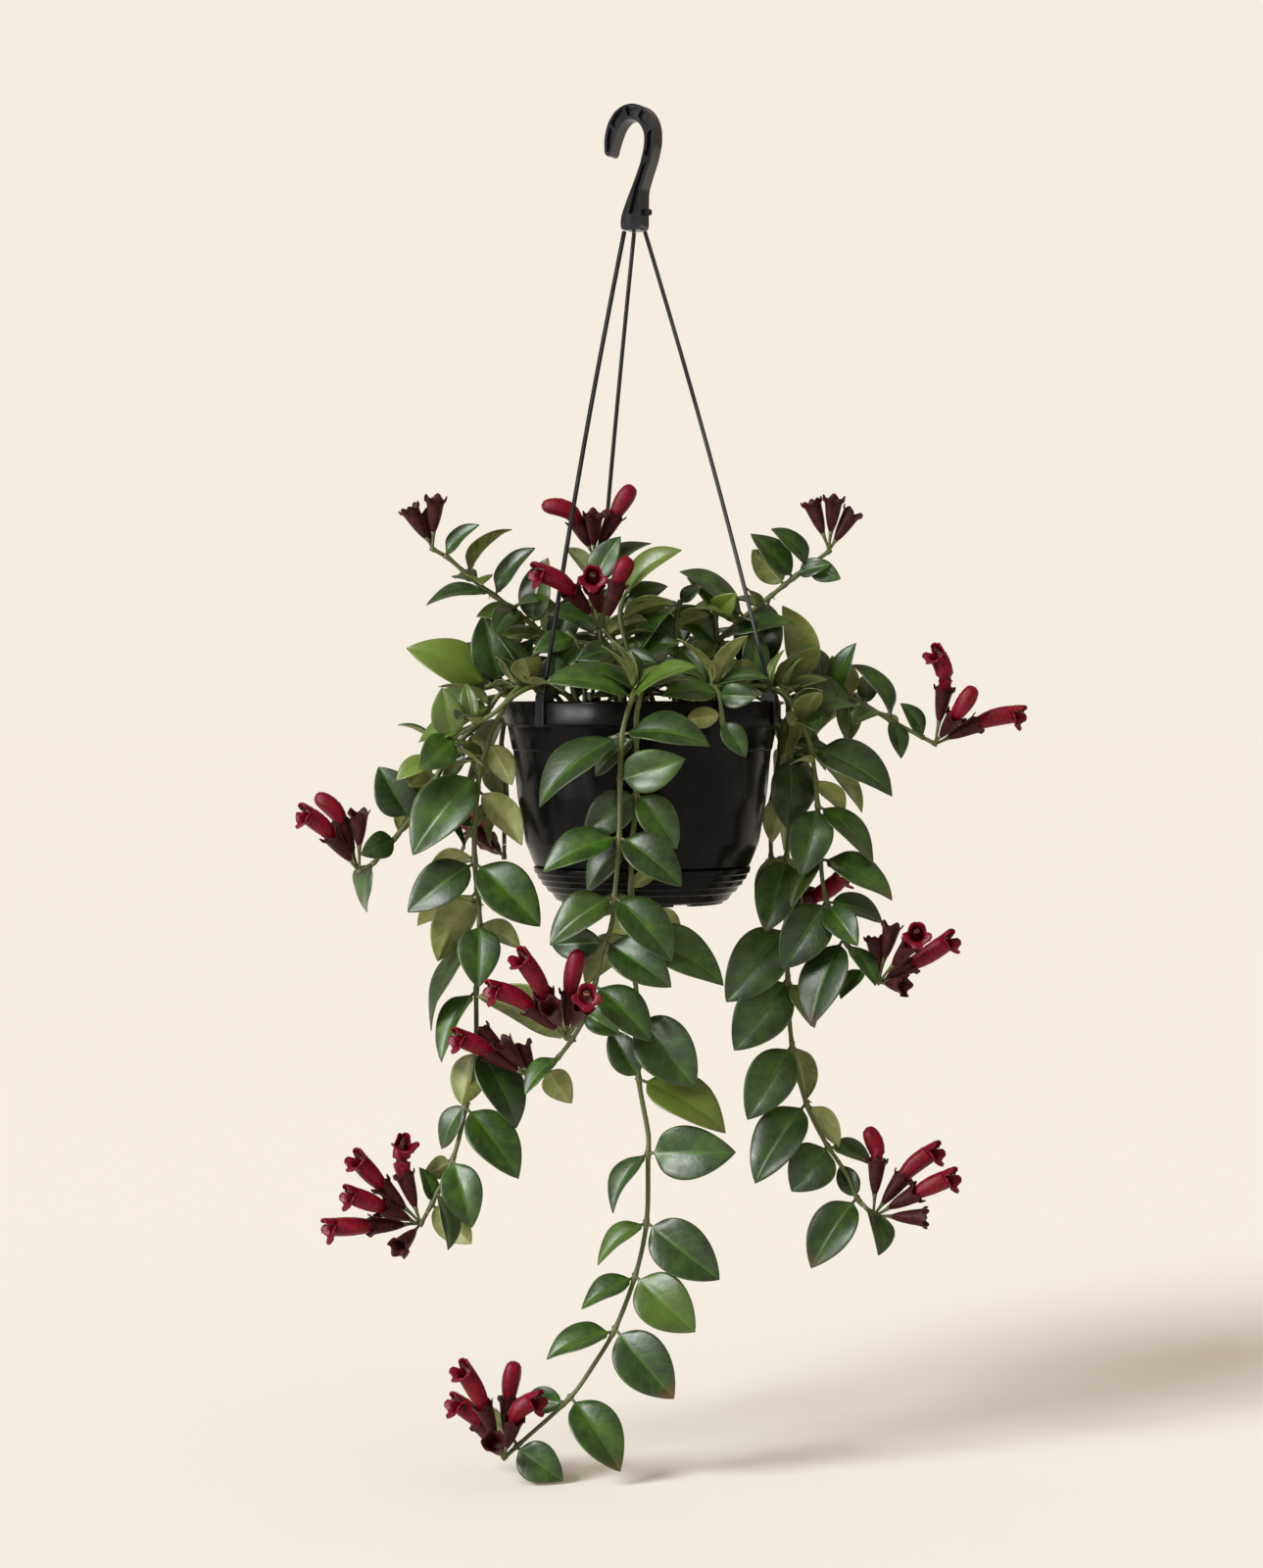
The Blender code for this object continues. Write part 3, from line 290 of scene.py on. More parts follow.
# The upper face of a leaf has a thick cuticle: dark green, half gloss, with a grey sheen
waxyFace = {
    "deep": "#14220a",
    "mid": "#264010",
    "light": "#416618",
    "rib": "#4a7024",
    "margin": "#76894a",
    "young": "#82933a",
    "brown": "#6b4a26",
    "deepStop": 0.12,
    "veins": 0.16,
    "roughness": (0.32, 0.46),
    "coat": 0.25,
    "coatRoughness": 0.3,
}
# The underside is matt olive, and its rib and veins show more. Its tones are partly its own paler olive and
# partly a painted glow of the light that shines through the blade
paleFaceWithPaintedGlow = {
    "deep": "#4c5522",
    "mid": "#737c40",
    "light": "#a3a56c",
    "rib": "#a3a56c",
    "margin": "#a3a56c",
    "young": "#a9ad52",
    "brown": "#7a5f35",
    "deepStop": 0.1,
    "veins": 0.28,
    "roughness": (0.48, 0.62),
}
leafPattern = {
    "patch": (11.0, 5.0, 0.6),     # size, detail and roughness of each noise
    "speck": (4.5, 2.0, 0.5),
    "cloud": (6.0, 4.0, 0.5),
    "swell": (3.4, 3.0, 0.5),
    "ownTone": 0.55,       # how much a leaf's own lightness counts
    "veinSlant": -0.22,    # side veins run out from the rib towards the tip
    "veinTurns": 44.0,
    "swellDepth": 0.4,
    "ior": 1.45,
}


def leafSurface(name, look):
    # a fleshy leaf. The tone attribute holds each leaf's own lightness, youth and browning
    material, tree, shader, place = startMaterial(name)
    own = addNode(tree, "ShaderNodeAttribute", attribute_name="tone")
    parts = addNode(tree, "ShaderNodeSeparateColor", {"Color": own.outputs["Color"]})
    grid = addNode(tree, "ShaderNodeUVMap", uv_map="blade")
    uv = addNode(tree, "ShaderNodeSeparateXYZ", {"Vector": grid.outputs["UV"]})
    along = uv.outputs["X"]
    # how far a point lies from the rib: 0 on it and 1 at the margin
    offset = addNode(tree, "ShaderNodeMath", {0: uv.outputs["Y"], 1: 0.5}, operation="SUBTRACT")
    twice = addNode(tree, "ShaderNodeMath", {0: offset.outputs[0], 1: 2.0}, operation="MULTIPLY")
    across = addNode(tree, "ShaderNodeMath", {0: twice.outputs[0]}, operation="ABSOLUTE").outputs[0]
    slant = addNode(tree, "ShaderNodeMath", {0: across, 1: leafPattern["veinSlant"], 2: along},
                    operation="MULTIPLY_ADD")
    beat = addNode(tree, "ShaderNodeMath", {0: slant.outputs[0], 1: leafPattern["veinTurns"]},
                   operation="MULTIPLY")
    wave = addNode(tree, "ShaderNodeMath", {0: beat.outputs[0]}, operation="SINE").outputs[0]
    clouds = {}
    for part in ("patch", "speck", "cloud", "swell"):
        size, detail, roughness = leafPattern[part]
        cloud = addNode(tree, "ShaderNodeTexNoise", {"Vector": place, "Scale": perMm(size), "Detail": detail,
                                                     "Roughness": roughness})
        clouds[part] = cloud.outputs["Fac"]

    # each marking is one of these, cut off between two values and given a strength at both
    marks = {}
    for part, source, start, end, first, last in (
            ("inner", across, 0.0, 0.8, 0.2, 0.0),
            ("patch", clouds["patch"], 0.3, 0.7, 0.0, 0.55),
            ("vein", wave, 0.86, 1.0, 0.0, look["veins"]),
            ("rib", across, 0.015, 0.07, 0.6, 0.0),
            ("margin", across, 0.93, 0.99, 0.0, 0.8),
            ("tip", along, 0.8, 1.0, 0.0, 1.0),
            ("spot", clouds["speck"], 0.72, 0.77, 0.0, 0.6),
            ("rough", clouds["cloud"], 0.3, 0.7, *look["roughness"])):
        mark = addNode(tree, "ShaderNodeMapRange", {"Value": source, "From Min": start, "From Max": end,
                                                    "To Min": first, "To Max": last})
        marks[part] = mark.outputs["Result"]

    level = addNode(tree, "ShaderNodeMath", {0: parts.outputs["Red"], 1: leafPattern["ownTone"],
                                             2: marks["patch"]}, operation="MULTIPLY_ADD")
    lift = addNode(tree, "ShaderNodeMath", {0: level.outputs[0], 1: marks["inner"]}, operation="ADD")
    tone = addNode(tree, "ShaderNodeValToRGB", {"Fac": lift.outputs[0]})
    setStops(tone, [(look["deepStop"], look["deep"]), (0.55, look["mid"]), (1.0, look["light"])])
    # browning starts at the tip, and a few small corky spots lie anywhere
    tipped = addNode(tree, "ShaderNodeMath", {0: marks["tip"], 1: parts.outputs["Blue"]},
                     operation="MULTIPLY")
    brown = addNode(tree, "ShaderNodeMath", {0: tipped.outputs[0], 1: marks["spot"]}, operation="MAXIMUM")
    colour = tone.outputs["Color"]
    for amount, tint in ((marks["vein"], "rib"), (marks["rib"], "rib"), (marks["margin"], "margin"),
                         (parts.outputs["Green"], "young"), (brown.outputs[0], "brown")):
        mixed = addNode(tree, "ShaderNodeMix", {0: amount, 6: colour, 7: linear(look[tint])},
                        data_type="RGBA")
        colour = mixed.outputs[2]
    tree.links.new(colour, shader.inputs["Base Color"])
    tree.links.new(marks["rough"], shader.inputs["Roughness"])
    relief = addNode(tree, "ShaderNodeMath", {0: marks["vein"], 1: 0.9, 2: clouds["swell"]},
                     operation="MULTIPLY_ADD")
    bump = addNode(tree, "ShaderNodeBump", {"Height": relief.outputs[0], "Strength": 0.5,
                                            "Distance": leafPattern["swellDepth"] * mm})
    tree.links.new(bump.outputs["Normal"], shader.inputs["Normal"])
    shader.inputs["IOR"].default_value = leafPattern["ior"]
    if "coat" in look:
        shader.inputs["Coat Weight"].default_value = look["coat"]
        shader.inputs["Coat Roughness"].default_value = look["coatRoughness"]
    return material


barkLook = {
    "green": "#55682c",
    "olive": "#565628",
    "brown": "#4a361a",
    "cork": 2.5,
    "corkDepth": 0.3,
    "roughness": 0.55,
}


def stemBark():
    # young stems are green and smooth, older ones olive-brown with fine cork
    look = barkLook
    material, tree, shader, place = startMaterial("green to corky bark")
    own = addNode(tree, "ShaderNodeAttribute", attribute_name="tone")
    parts = addNode(tree, "ShaderNodeSeparateColor", {"Color": own.outputs["Color"]})
    cork = addNode(tree, "ShaderNodeTexNoise", {"Vector": place, "Scale": perMm(look["cork"]), "Detail": 5.0})
    tone = addNode(tree, "ShaderNodeValToRGB", {"Fac": cork.outputs["Fac"]})
    setStops(tone, [(0.35, look["brown"]), (0.55, look["olive"]), (0.8, look["green"])])
    green = addNode(tree, "ShaderNodeMix", {0: parts.outputs["Green"], 6: tone.outputs["Color"],
                                            7: linear(look["green"])}, data_type="RGBA")
    tree.links.new(green.outputs[2], shader.inputs["Base Color"])
    bump = addNode(tree, "ShaderNodeBump", {"Height": cork.outputs["Fac"], "Strength": 0.5,
                                            "Distance": look["corkDepth"] * mm})
    tree.links.new(bump.outputs["Normal"], shader.inputs["Normal"])
    shader.inputs["Roughness"].default_value = look["roughness"]
    return material


# Dark, middle and light tone, size of the clouds between them, sheen and roughness of each skin
flowerSkins = {
    "velvety calyx": (("#1d0609", "#3a0c13", "#5c1a20"), 3.0, 0.12, 0.5),
    "hairy corolla": (("#4a0312", "#72041c", "#960826"), 2.2, 0.08, 0.36),
    "moist throat": (("#3c0410", "#6c0a20", "#98203a"), 0.9, 0.0, 0.2),
    "filament": (("#a8574c", "#d8a58e", "#efd9bd"), 1.2, 0.0, 0.4),
    "anther": (("#2a1712", "#4a2a1c", "#6e4a30"), 0.6, 0.0, 0.6),
    "flower hairs": (("#7a1020", "#a02434", "#c0606a"), 2.0, 0.0, 0.6),
}
flowerPattern = {
    "stops": (0.22, 0.5, 0.82),
    "nap": 0.5,            # hairs are about 0.05 mm thick, and are drawn coarser so that they show
    "napDepth": 0.3,
    "gloss": 0.2,
    "sheenColour": "#b03a44",
    "sheenRoughness": 0.4,
}


def flowerSkin(name):
    # a soft skin with a fine nap. Sheen gives the hairy ones a pale bloom where they turn away
    tones, size, sheen, roughness = flowerSkins[name]
    look = flowerPattern
    material, tree, shader, place = startMaterial(name)
    cloud = addNode(tree, "ShaderNodeTexNoise", {"Vector": place, "Scale": perMm(size), "Detail": 5.0})
    tone = addNode(tree, "ShaderNodeValToRGB", {"Fac": cloud.outputs["Fac"]})
    setStops(tone, list(zip(look["stops"], tones)))
    tree.links.new(tone.outputs["Color"], shader.inputs["Base Color"])
    nap = addNode(tree, "ShaderNodeTexNoise", {"Vector": place, "Scale": perMm(look["nap"]), "Detail": 2.0})
    bump = addNode(tree, "ShaderNodeBump", {"Height": nap.outputs["Fac"], "Strength": 0.6,
                                            "Distance": look["napDepth"] * mm})
    tree.links.new(bump.outputs["Normal"], shader.inputs["Normal"])
    shader.inputs["Roughness"].default_value = roughness
    shader.inputs["Specular IOR Level"].default_value = look["gloss"]
    shader.inputs["Sheen Weight"].default_value = sheen
    shader.inputs["Sheen Roughness"].default_value = look["sheenRoughness"]
    shader.inputs["Sheen Tint"].default_value = linear(look["sheenColour"])
    return material


plastic = mouldedPolypropylene("moulded charcoal polypropylene", "pot")
hangerPlastic = mouldedPolypropylene("moulded grey polypropylene", "hanger")
peat = dampPeat()
leafUpper = leafSurface("waxy leaf, upper face", waxyFace)
leafUnder = leafSurface("matt leaf, underside", paleFaceWithPaintedGlow)
bark = stemBark()
calyxSkin, corollaSkin, throatSkin, filament, anther, hairSkin = (flowerSkin(name) for name in flowerSkins)
print("materials made")


# Shared shapes

def makePiece(name, points, faces, materials, slots=None, smooth=40):
    # a mesh from points in millimetres. Its edges shade round up to this many degrees
    mesh = bpy.data.meshes.new(name)
    mesh.from_pydata([(p[0] * mm, p[1] * mm, p[2] * mm) for p in points], [], faces)
    for material in materials:
        mesh.materials.append(material)
    if slots is not None:
        mesh.polygons.foreach_set("material_index", slots)
    piece = bpy.data.objects.new(name, mesh)
    bpy.context.scene.collection.objects.link(piece)
    mesh.shade_smooth()
    if smooth:
        mesh.set_sharp_from_angle(angle=radians(smooth))
    mesh.update()
    return piece


def fit(piece, slot, *nodes):
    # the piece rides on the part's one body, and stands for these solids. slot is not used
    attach(piece, "root")
    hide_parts(*nodes)


def smoothRoute(route, step):
    # a curve through every point of a route, with a point about every step
    if len(route) < 3:
        return list(route)
    ends = [route[0] * 2 - route[1]] + list(route) + [route[-1] * 2 - route[-2]]
    curve = []
    for i in range(1, len(ends) - 2):
        a, b, c, d = ends[i - 1], ends[i], ends[i + 1], ends[i + 2]
        gap = (c - b).length
        early = (c - a) * (gap / max((b - a).length + gap, 1e-6))
        late = (d - b) * (gap / max((d - c).length + gap, 1e-6))
        count = max(1, int(gap / step))
        for k in range(count):
            t = k / count
            curve.append(b * (2 * t ** 3 - 3 * t ** 2 + 1) + early * (t ** 3 - 2 * t ** 2 + t)
                         + c * (3 * t ** 2 - 2 * t ** 3) + late * (t ** 3 - t ** 2))
    return curve + [route[-1].copy()]


def roundedProfile(profile, reach, steps, closed=False):
    # each corner of an outline becomes a short curve, which starts at most this far from it
    out = []
    count = len(profile)
    for i, point in enumerate(profile):
        here = Vector((*point, 0))
        if not closed and i in (0, count - 1):
            out.append((here.x, here.y))
            continue
        before = Vector((*profile[i - 1], 0))
        after = Vector((*profile[(i + 1) % count], 0))
        a = here + (before - here).normalized() * min(reach, (before - here).length * 0.45)
        c = here + (after - here).normalized() * min(reach, (after - here).length * 0.45)
        for k in range(steps + 1):
            t = k / steps
            p = a * (1 - t) ** 2 + here * 2 * t * (1 - t) + c * t * t
            out.append((p.x, p.y))
    return out


plainTone = (0.5, 0.0, 0.0)      # the lightness, youth and browning of what isn't a leaf


def newBatch():
    # many small skins that become one piece
    return {"points": [], "faces": [], "slots": [], "uv": [], "tone": []}


def addRings(batch, rings, slot, tone):
    # rings of points joined side to side, closed at both ends. slot is a number, or a function of the ring
    base = len(batch["points"])
    sides, rows = len(rings[0]), len(rings) - 1
    slots = [slot(r) if callable(slot) else slot for r in range(rows)]
    for number, ring in enumerate(rings):
        batch["points"] += ring
        batch["uv"] += [(number / rows, k / sides) for k in range(sides)]
        batch["tone"] += [tone] * sides
    for r in range(rows):
        for k in range(sides):
            a = base + r * sides + k
            b = base + r * sides + (k + 1) % sides
            batch["faces"].append((a, b, b + sides, a + sides))
            batch["slots"].append(slots[r])
    last = base + rows * sides
    batch["faces"] += [tuple(reversed(range(base, base + sides))), tuple(range(last, last + sides))]
    batch["slots"] += [slots[0], slots[-1]]


def squareTo(way, along):
    # a direction made square to another
    return (way - along * way.dot(along)).normalized()


def addTube(batch, route, radii, sides, slot, tone):
    # a round tube along a route, with a radius for each of its points
    rings = []
    side = (route[1] - route[0]).orthogonal().normalized()
    for i, centre in enumerate(route):
        ahead = (route[min(i + 1, len(route) - 1)] - route[max(i - 1, 0)]).normalized()
        side = squareTo(side, ahead)
        other = ahead.cross(side)
        rings.append([centre + (side * cos(2 * pi * k / sides) + other * sin(2 * pi * k / sides)) * radii[i]
                      for k in range(sides)])
    addRings(batch, rings, slot, tone)


def batchPiece(name, batch, materials, smooth=0):
    # nothing reaches past the solids' box
    low, high = ([value / mm + inward for value in corner] for corner, inward in zip(cadBox, (0.01, -0.01)))
    points = [[min(max(p[axis], low[axis]), high[axis]) for axis in range(3)] for p in batch["points"]]
    piece = makePiece(name, points, batch["faces"], materials, batch["slots"], smooth)
    mesh = piece.data
    corner = np.empty(len(mesh.loops), dtype=np.int32)
    mesh.loops.foreach_get("vertex_index", corner)
    layer = mesh.uv_layers.new(name="blade")
    layer.data.foreach_set("uv", np.array(batch["uv"], dtype=np.float32)[corner].ravel())
    tone = mesh.color_attributes.new("tone", "FLOAT_COLOR", "POINT")
    tone.data.foreach_set("color", np.array([(*t, 1.0) for t in batch["tone"]], dtype=np.float32).ravel())
    return piece


# Pot and saucer

pot = {
    "outer": [(82.2, -356.0), (85.0, -356.0), (85.0, -370.0), (82.4, -370.5), (79.6, -385.0), (78.9, -385.6),
              (76.3, -414.0), (71.5, -442.0), (65.8, -456.0), (62.9, -456.4), (59.5, -461.5)],
    "inner": [(57.5, -459.5), (69.6, -442.0), (77.2, -385.0), (81.8, -358.2)],
    "corner": 1.1,         # the round that the mould leaves
    "sides": 144,
}


def aroundPot(reach, turn, height):
    # a place by its distance from the pot's axis, its bearing and its height
    return Vector((potAxis + reach * cos(turn), reach * sin(turn), height))


def potRing(reach, height, sides):
    return [aroundPot(reach, 2 * pi * k / sides, height) for k in range(sides)]


def turnedShape(shape, sides):
    # a closed profile, outer side down and inner side up, turned about the pot's axis
    outer = roundedProfile(shape["outer"], shape["corner"], 3)
    inner = roundedProfile(shape["inner"], shape["corner"], 3)
    profile = outer + inner
    points = []
    for reach, height in profile:
        points += potRing(reach, height, sides)
    middle = len(points)
    points += [Vector((potAxis, 0, outer[-1][1])), Vector((potAxis, 0, inner[0][1]))]
    faces = []
    for i in range(len(profile)):
        j = (i + 1) % len(profile)
        if i == len(outer) - 1:
            continue
        faces += [(j * sides + k, j * sides + (k + 1) % sides, i * sides + (k + 1) % sides, i * sides + k)
                  for k in range(sides)]
    low = (len(outer) - 1) * sides
    for k in range(sides):
        faces.append((low + (k + 1) % sides, low + k, middle))
        faces.append((low + sides + k, low + sides + (k + 1) % sides, middle + 1))
    return points, faces


def makePot():
    # a tapered pot with a rim band, a collar and a groove above its base
    points, faces = turnedShape(pot, pot["sides"])
    piece = makePiece("nursery_pot", points, faces, [plastic], None, 50)
    fit(piece, "pot", "pot")


saucer = {
    "outer": [(64.0, -456.7), (66.4, -456.7), (65.9, -460.4), (64.6, -460.9), (63.7, -464.2), (62.2, -464.7),
              (61.1, -468.0), (59.3, -468.5), (57.8, -471.8), (55.6, -472.5), (52.6, -477.0), (50.0, -478.0)],
    "inner": [(49.0, -476.2), (53.6, -472.0), (62.2, -459.5)],
    "corner": 0.7,
    "feet": 6,
    "footArc": 44,
    "footSection": [(43.0, -477.4), (43.4, -478.8), (44.2, -479.2), (49.0, -479.2), (49.8, -478.8),
                    (50.0, -477.4)],
    "footSteps": 8,
}


def makeSaucer():
    # a ribbed cup that clips on under the pot, with small feet around its base
    points, faces = turnedShape(saucer, pot["sides"])
    section, steps = saucer["footSection"], saucer["footSteps"]
    count = len(section)
    for foot in range(saucer["feet"]):
        base = len(points)
        middle = 90 + foot * 360 / saucer["feet"]
        for k in range(steps + 1):
            turn = radians(middle + (k / steps - 0.5) * saucer["footArc"])
            points += [aroundPot(reach, turn, height) for reach, height in section]
        for k in range(steps):
            for i in range(count):
                a, b = base + k * count + i, base + k * count + (i + 1) % count
                faces.append((a, b, b + count, a + count))
        faces.append(tuple(reversed(range(base, base + count))))
        faces.append(tuple(range(base + steps * count, base + (steps + 1) * count)))
    piece = makePiece("clip_on_saucer", points, faces, [plastic], None, 45)
    fit(piece, "pot", "drip_saucer")


soil = {
    "top": -364.0,
    "body": [(0.5, -459.1), (57.0, -459.1), (69.0, -442.0), (76.4, -386.0), (79.2, -366.0)],
    "reach": 79.6,
    "sides": 90,
    "rows": 34,
    "crumbs": 420,
    "crumbReach": 77.0,
    "crumbSize": (0.7, 1.9),       # the smallest, and how much larger the largest is
    "crumbShape": ((-0.8, 0.5), (-0.2, 1.0), (0.5, 0.8), (0.9, 0.3)),     # level and width of its rings
}


def addCrumb(batch, draw):
    # one loose crumb of peat or bark, half sunk in the top
    reach = soil["crumbReach"] * draw.random() ** 0.5
    turn = draw.random() * 2 * pi
    least, more = soil["crumbSize"]
    size = least + more * draw.random() ** 3
    centre = aroundPot(reach, turn, soil["top"] - 0.6 + size * 0.4)
    stretch = Vector((1 + draw.random(), 0.6 + 0.5 * draw.random(), 0.6 + 0.4 * draw.random()))
    spin = draw.random() * pi
    rings = []
    for level, wide in soil["crumbShape"]:
        ring = []
        for k in range(6):
            angle = 2 * pi * k / 6
            p = Vector((wide * cos(angle) * stretch.x, wide * sin(angle) * stretch.y, level * stretch.z))
            p = p * size * (0.85 + 0.3 * draw.random())
            ring.append(centre + Vector((p.x * cos(spin) - p.y * sin(spin), p.x * sin(spin) + p.y * cos(spin),
                                         p.z)))
        rings.append(ring)
    addRings(batch, rings, 0, plainTone)


def makeSoil():
    # the body under a lumpy top, and loose crumbs on it
    batch = newBatch()
    rings = [potRing(reach, height, soil["sides"]) for reach, height in soil["body"]]
    for row in range(soil["rows"]):
        reach = soil["reach"] * (1 - row / soil["rows"]) ** 0.85 + 0.4
        ring = potRing(reach, soil["top"] - 1.2, soil["sides"])
        for p in ring:
            p.z += noise.noise(Vector((p.x, p.y, 0)) / 9) * 1.6 + noise.noise(Vector((p.x, p.y, 7)) / 3) * 0.9
        rings.append(ring)
    addRings(batch, rings, 0, plainTone)
    draw = random.Random(11)
    for crumb in range(soil["crumbs"]):
        addCrumb(batch, draw)
    piece = batchPiece("peat_and_bark", batch, [peat], 60)
    fit(piece, "soil", "potting_soil")


makePot()
makeSaucer()
makeSoil()
print("pot, saucer and soil made")


# Hanger

# Outlines are (across, height) on the hook, and (reach from the pot's axis, height) on the clips
hanger = {
    "turn": radians(-25),
    "depth": 12.0,
    "web": 6.4,            # what the pockets leave between them
    "outline": [(-17.9, -20.0), (-18.0, -11.0), (-15.6, -1.5), (-10.6, 5.6), (-4.4, 9.0), (2.0, 9.4),
                (8.2, 7.2), (13.2, 1.6), (15.8, -6.0), (15.9, -15.0), (13.6, -25.0), (10.0, -35.0),
                (7.0, -44.0), (6.8, -68.0), (-6.8, -68.0), (-6.8, -60.0), (-2.6, -49.0), (1.6, -39.5),
                (6.2, -28.0), (8.8, -18.0), (9.2, -10.0), (6.8, -4.4), (3.0, -1.0), (-0.9, 0.0),
                (-4.6, -1.2), (-7.8, -4.8), (-10.2, -10.0), (-12.6, -17.0), (-13.6, -21.0), (-15.8, -22.3)],
    "corner": 3.4,
    "pockets": [
        [(-16.2, -19.4), (-16.2, -11.2), (-14.6, -4.0), (-11.4, -7.0), (-12.4, -12.0), (-14.6, -19.4)],
        [(-13.8, -2.0), (-9.9, 4.0), (-5.4, 7.0), (-8.4, -2.0), (-10.6, -5.2)],
        [(-3.6, 7.3), (1.6, 7.6), (5.6, 6.2), (1.2, 1.6), (-0.9, 1.9), (-2.4, 1.8)],
        [(7.2, 5.6), (11.8, 0.6), (13.9, -5.2), (11.4, -6.0), (8.4, -3.6), (4.6, 1.2)],
        [(14.1, -7.0), (14.1, -14.6), (11.6, -24.0), (9.0, -22.0), (10.8, -17.4), (11.2, -9.4)],
        [(10.6, -26.4), (5.2, -42.6), (5.0, -58.0), (-1.6, -58.0), (3.6, -39.6), (7.8, -29.0)]],
    "pocketCorner": 0.9,
    "hookEdge": 0.45,
    "peg": {"end": 11.0, "height": -57.0, "length": 5.6, "radius": 2.0},
    "legTops": {"left": (-6.4, -1.2), "right": (6.2, 0.2), "back": (-0.4, 4.4)},
    "legBearings": {"left": 225.0, "right": 339.0, "back": 112.0},
    "legTopHeight": -68.3,
    "legHalf": 1.0925,
    "legBow": 2.5,
    "legSteps": 24,
    "clipReach": 83.2,
    "clipHeight": -351.5,
    "clipWidth": 7.0,
    "clip": [(77.6, -361.0), (77.6, -352.6), (79.6, -350.4), (85.4, -350.4), (87.0, -352.4),
             (87.0, -370.4), (85.4, -370.4), (85.4, -355.6), (79.2, -355.6), (79.2, -361.0)],
    "clipCorner": 1.4,
    "legEdge": 0.35,
}


def slab(outline, front, back, place):
    # an outline given a thickness, from front to back
    area = sum(a[0] * b[1] - b[0] * a[1] for a, b in zip(outline, outline[1:] + outline[:1]))
    ordered = outline if area > 0 else outline[::-1]
    points = [place(x, front, z) for x, z in ordered] + [place(x, back, z) for x, z in ordered]
    count = len(ordered)
    faces = [tuple(range(count)), tuple(reversed(range(count, 2 * count)))]
    faces += [(k, k + count, (k + 1) % count + count, (k + 1) % count) for k in range(count)]
    return points, faces


def joinTo(points, faces, morePoints, moreFaces):
    # one more skin among the points and faces of another
    faces += [tuple(corner + len(points) for corner in face) for face in moreFaces]
    points += morePoints


def hookPlace(across, depth, height):
    # the hook stands turned about its own upright line
    turn = hanger["turn"]
    return Vector((across * cos(turn) - depth * sin(turn), across * sin(turn) + depth * cos(turn), height))


def softenEdges(piece, width):
    # the round that a mould leaves on every edge
    edge = piece.modifiers.new("moulded round", "BEVEL")
    edge.width = width * mm
    edge.segments = 2
    edge.limit_method = "ANGLE"
    edge.angle_limit = radians(38)
    edge.use_clamp_overlap = True


def makeHook():
    # a channel section: a slab with pockets cut into both of its sides
    outline = roundedProfile(hanger["outline"], hanger["corner"], 4, True)
    points, faces = slab(outline, -hanger["depth"] / 2, hanger["depth"] / 2, hookPlace)
    piece = makePiece("moulded_hook", points, faces, [hangerPlastic], None, 0)
    cutPoints, cutFaces = [], []
    half = hanger["web"] / 2
    for pocket in hanger["pockets"]:
        outline = roundedProfile(pocket, hanger["pocketCorner"], 3, True)
        for front, back in ((-hanger["depth"], -half), (half, hanger["depth"])):
            joinTo(cutPoints, cutFaces, *slab(outline, front, back, hookPlace))
    cutter = makePiece("pockets", cutPoints, cutFaces, [hangerPlastic], None, 0)
    cut = piece.modifiers.new("pockets", "BOOLEAN")
    cut.operation = "DIFFERENCE"
    cut.object = cutter
    shape = bmesh.new()
    shape.from_object(piece, bpy.context.evaluated_depsgraph_get())
    shape.to_mesh(piece.data)
    shape.free()
    piece.modifiers.clear()
    bpy.data.objects.remove(cutter)
    softenEdges(piece, hanger["hookEdge"])
    piece.data.shade_smooth()
    piece.data.set_sharp_from_angle(angle=radians(40))
    fit(piece, "hanger", "hanger_hook")


def makePeg():
    # a short round peg on the side of the hook, with a domed end
    end, height, radius = (hanger["peg"][part] for part in ("end", "height", "radius"))
    route = [hookPlace(end - back, 0, height) for back in (hanger["peg"]["length"], 0.5, 0.1, 0)]
    batch = newBatch()
    addTube(batch, route, [radius, radius, radius * 0.85, radius * 0.5], 24, 0, (0, 0, 0))
    peg = batchPiece("hook_peg", batch, [hangerPlastic], 50)
    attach(peg, "root")


def makeLeg(side):
    # a square-moulded leg, a little bowed, that ends in a clip over the rim
    bearing = radians(hanger["legBearings"][side])
    outward = Vector((cos(bearing), sin(bearing), 0))
    aside = Vector((-sin(bearing), cos(bearing), 0))

    def clipPlace(reach, beside, height):
        return aroundPot(reach, bearing, height) + aside * beside

    top = Vector((*hanger["legTops"][side], hanger["legTopHeight"]))
    foot = clipPlace(hanger["clipReach"], 0, hanger["clipHeight"])
    steps = hanger["legSteps"]
    route = [top.lerp(foot, k / steps) + outward * hanger["legBow"] * sin(pi * k / steps)
             for k in range(steps + 1)]
    points, faces = [], []
    for i, centre in enumerate(route):
        ahead = (route[min(i + 1, steps)] - route[max(i - 1, 0)]).normalized()
        other = ahead.cross(aside).normalized()
        points += [centre + (aside * a + other * b) * hanger["legHalf"]
                   for a, b in ((1, 1), (-1, 1), (-1, -1), (1, -1))]
    for i in range(steps):
        faces += [(4 * i + k, 4 * i + (k + 1) % 4, 4 * i + 4 + (k + 1) % 4, 4 * i + 4 + k) for k in range(4)]
    faces += [(3, 2, 1, 0), tuple(range(4 * steps, 4 * steps + 4))]
    width = hanger["clipWidth"] / 2
    outline = roundedProfile(hanger["clip"], hanger["clipCorner"], 4, True)
    joinTo(points, faces, *slab(outline, -width, width, clipPlace))
    leg = makePiece(f"hanger_strand_{side}", points, faces, [hangerPlastic], None, 40)
    shape = bmesh.new()
    shape.from_mesh(leg.data)
    bmesh.ops.recalc_face_normals(shape, faces=shape.faces)
    shape.to_mesh(leg.data)
    shape.free()
    softenEdges(leg, hanger["legEdge"])
    fit(leg, "hanger", f"hanger_leg_{side}")


makeHook()
makePeg()
for side in hanger["legTops"]:
    makeLeg(side)
print("hanger made")


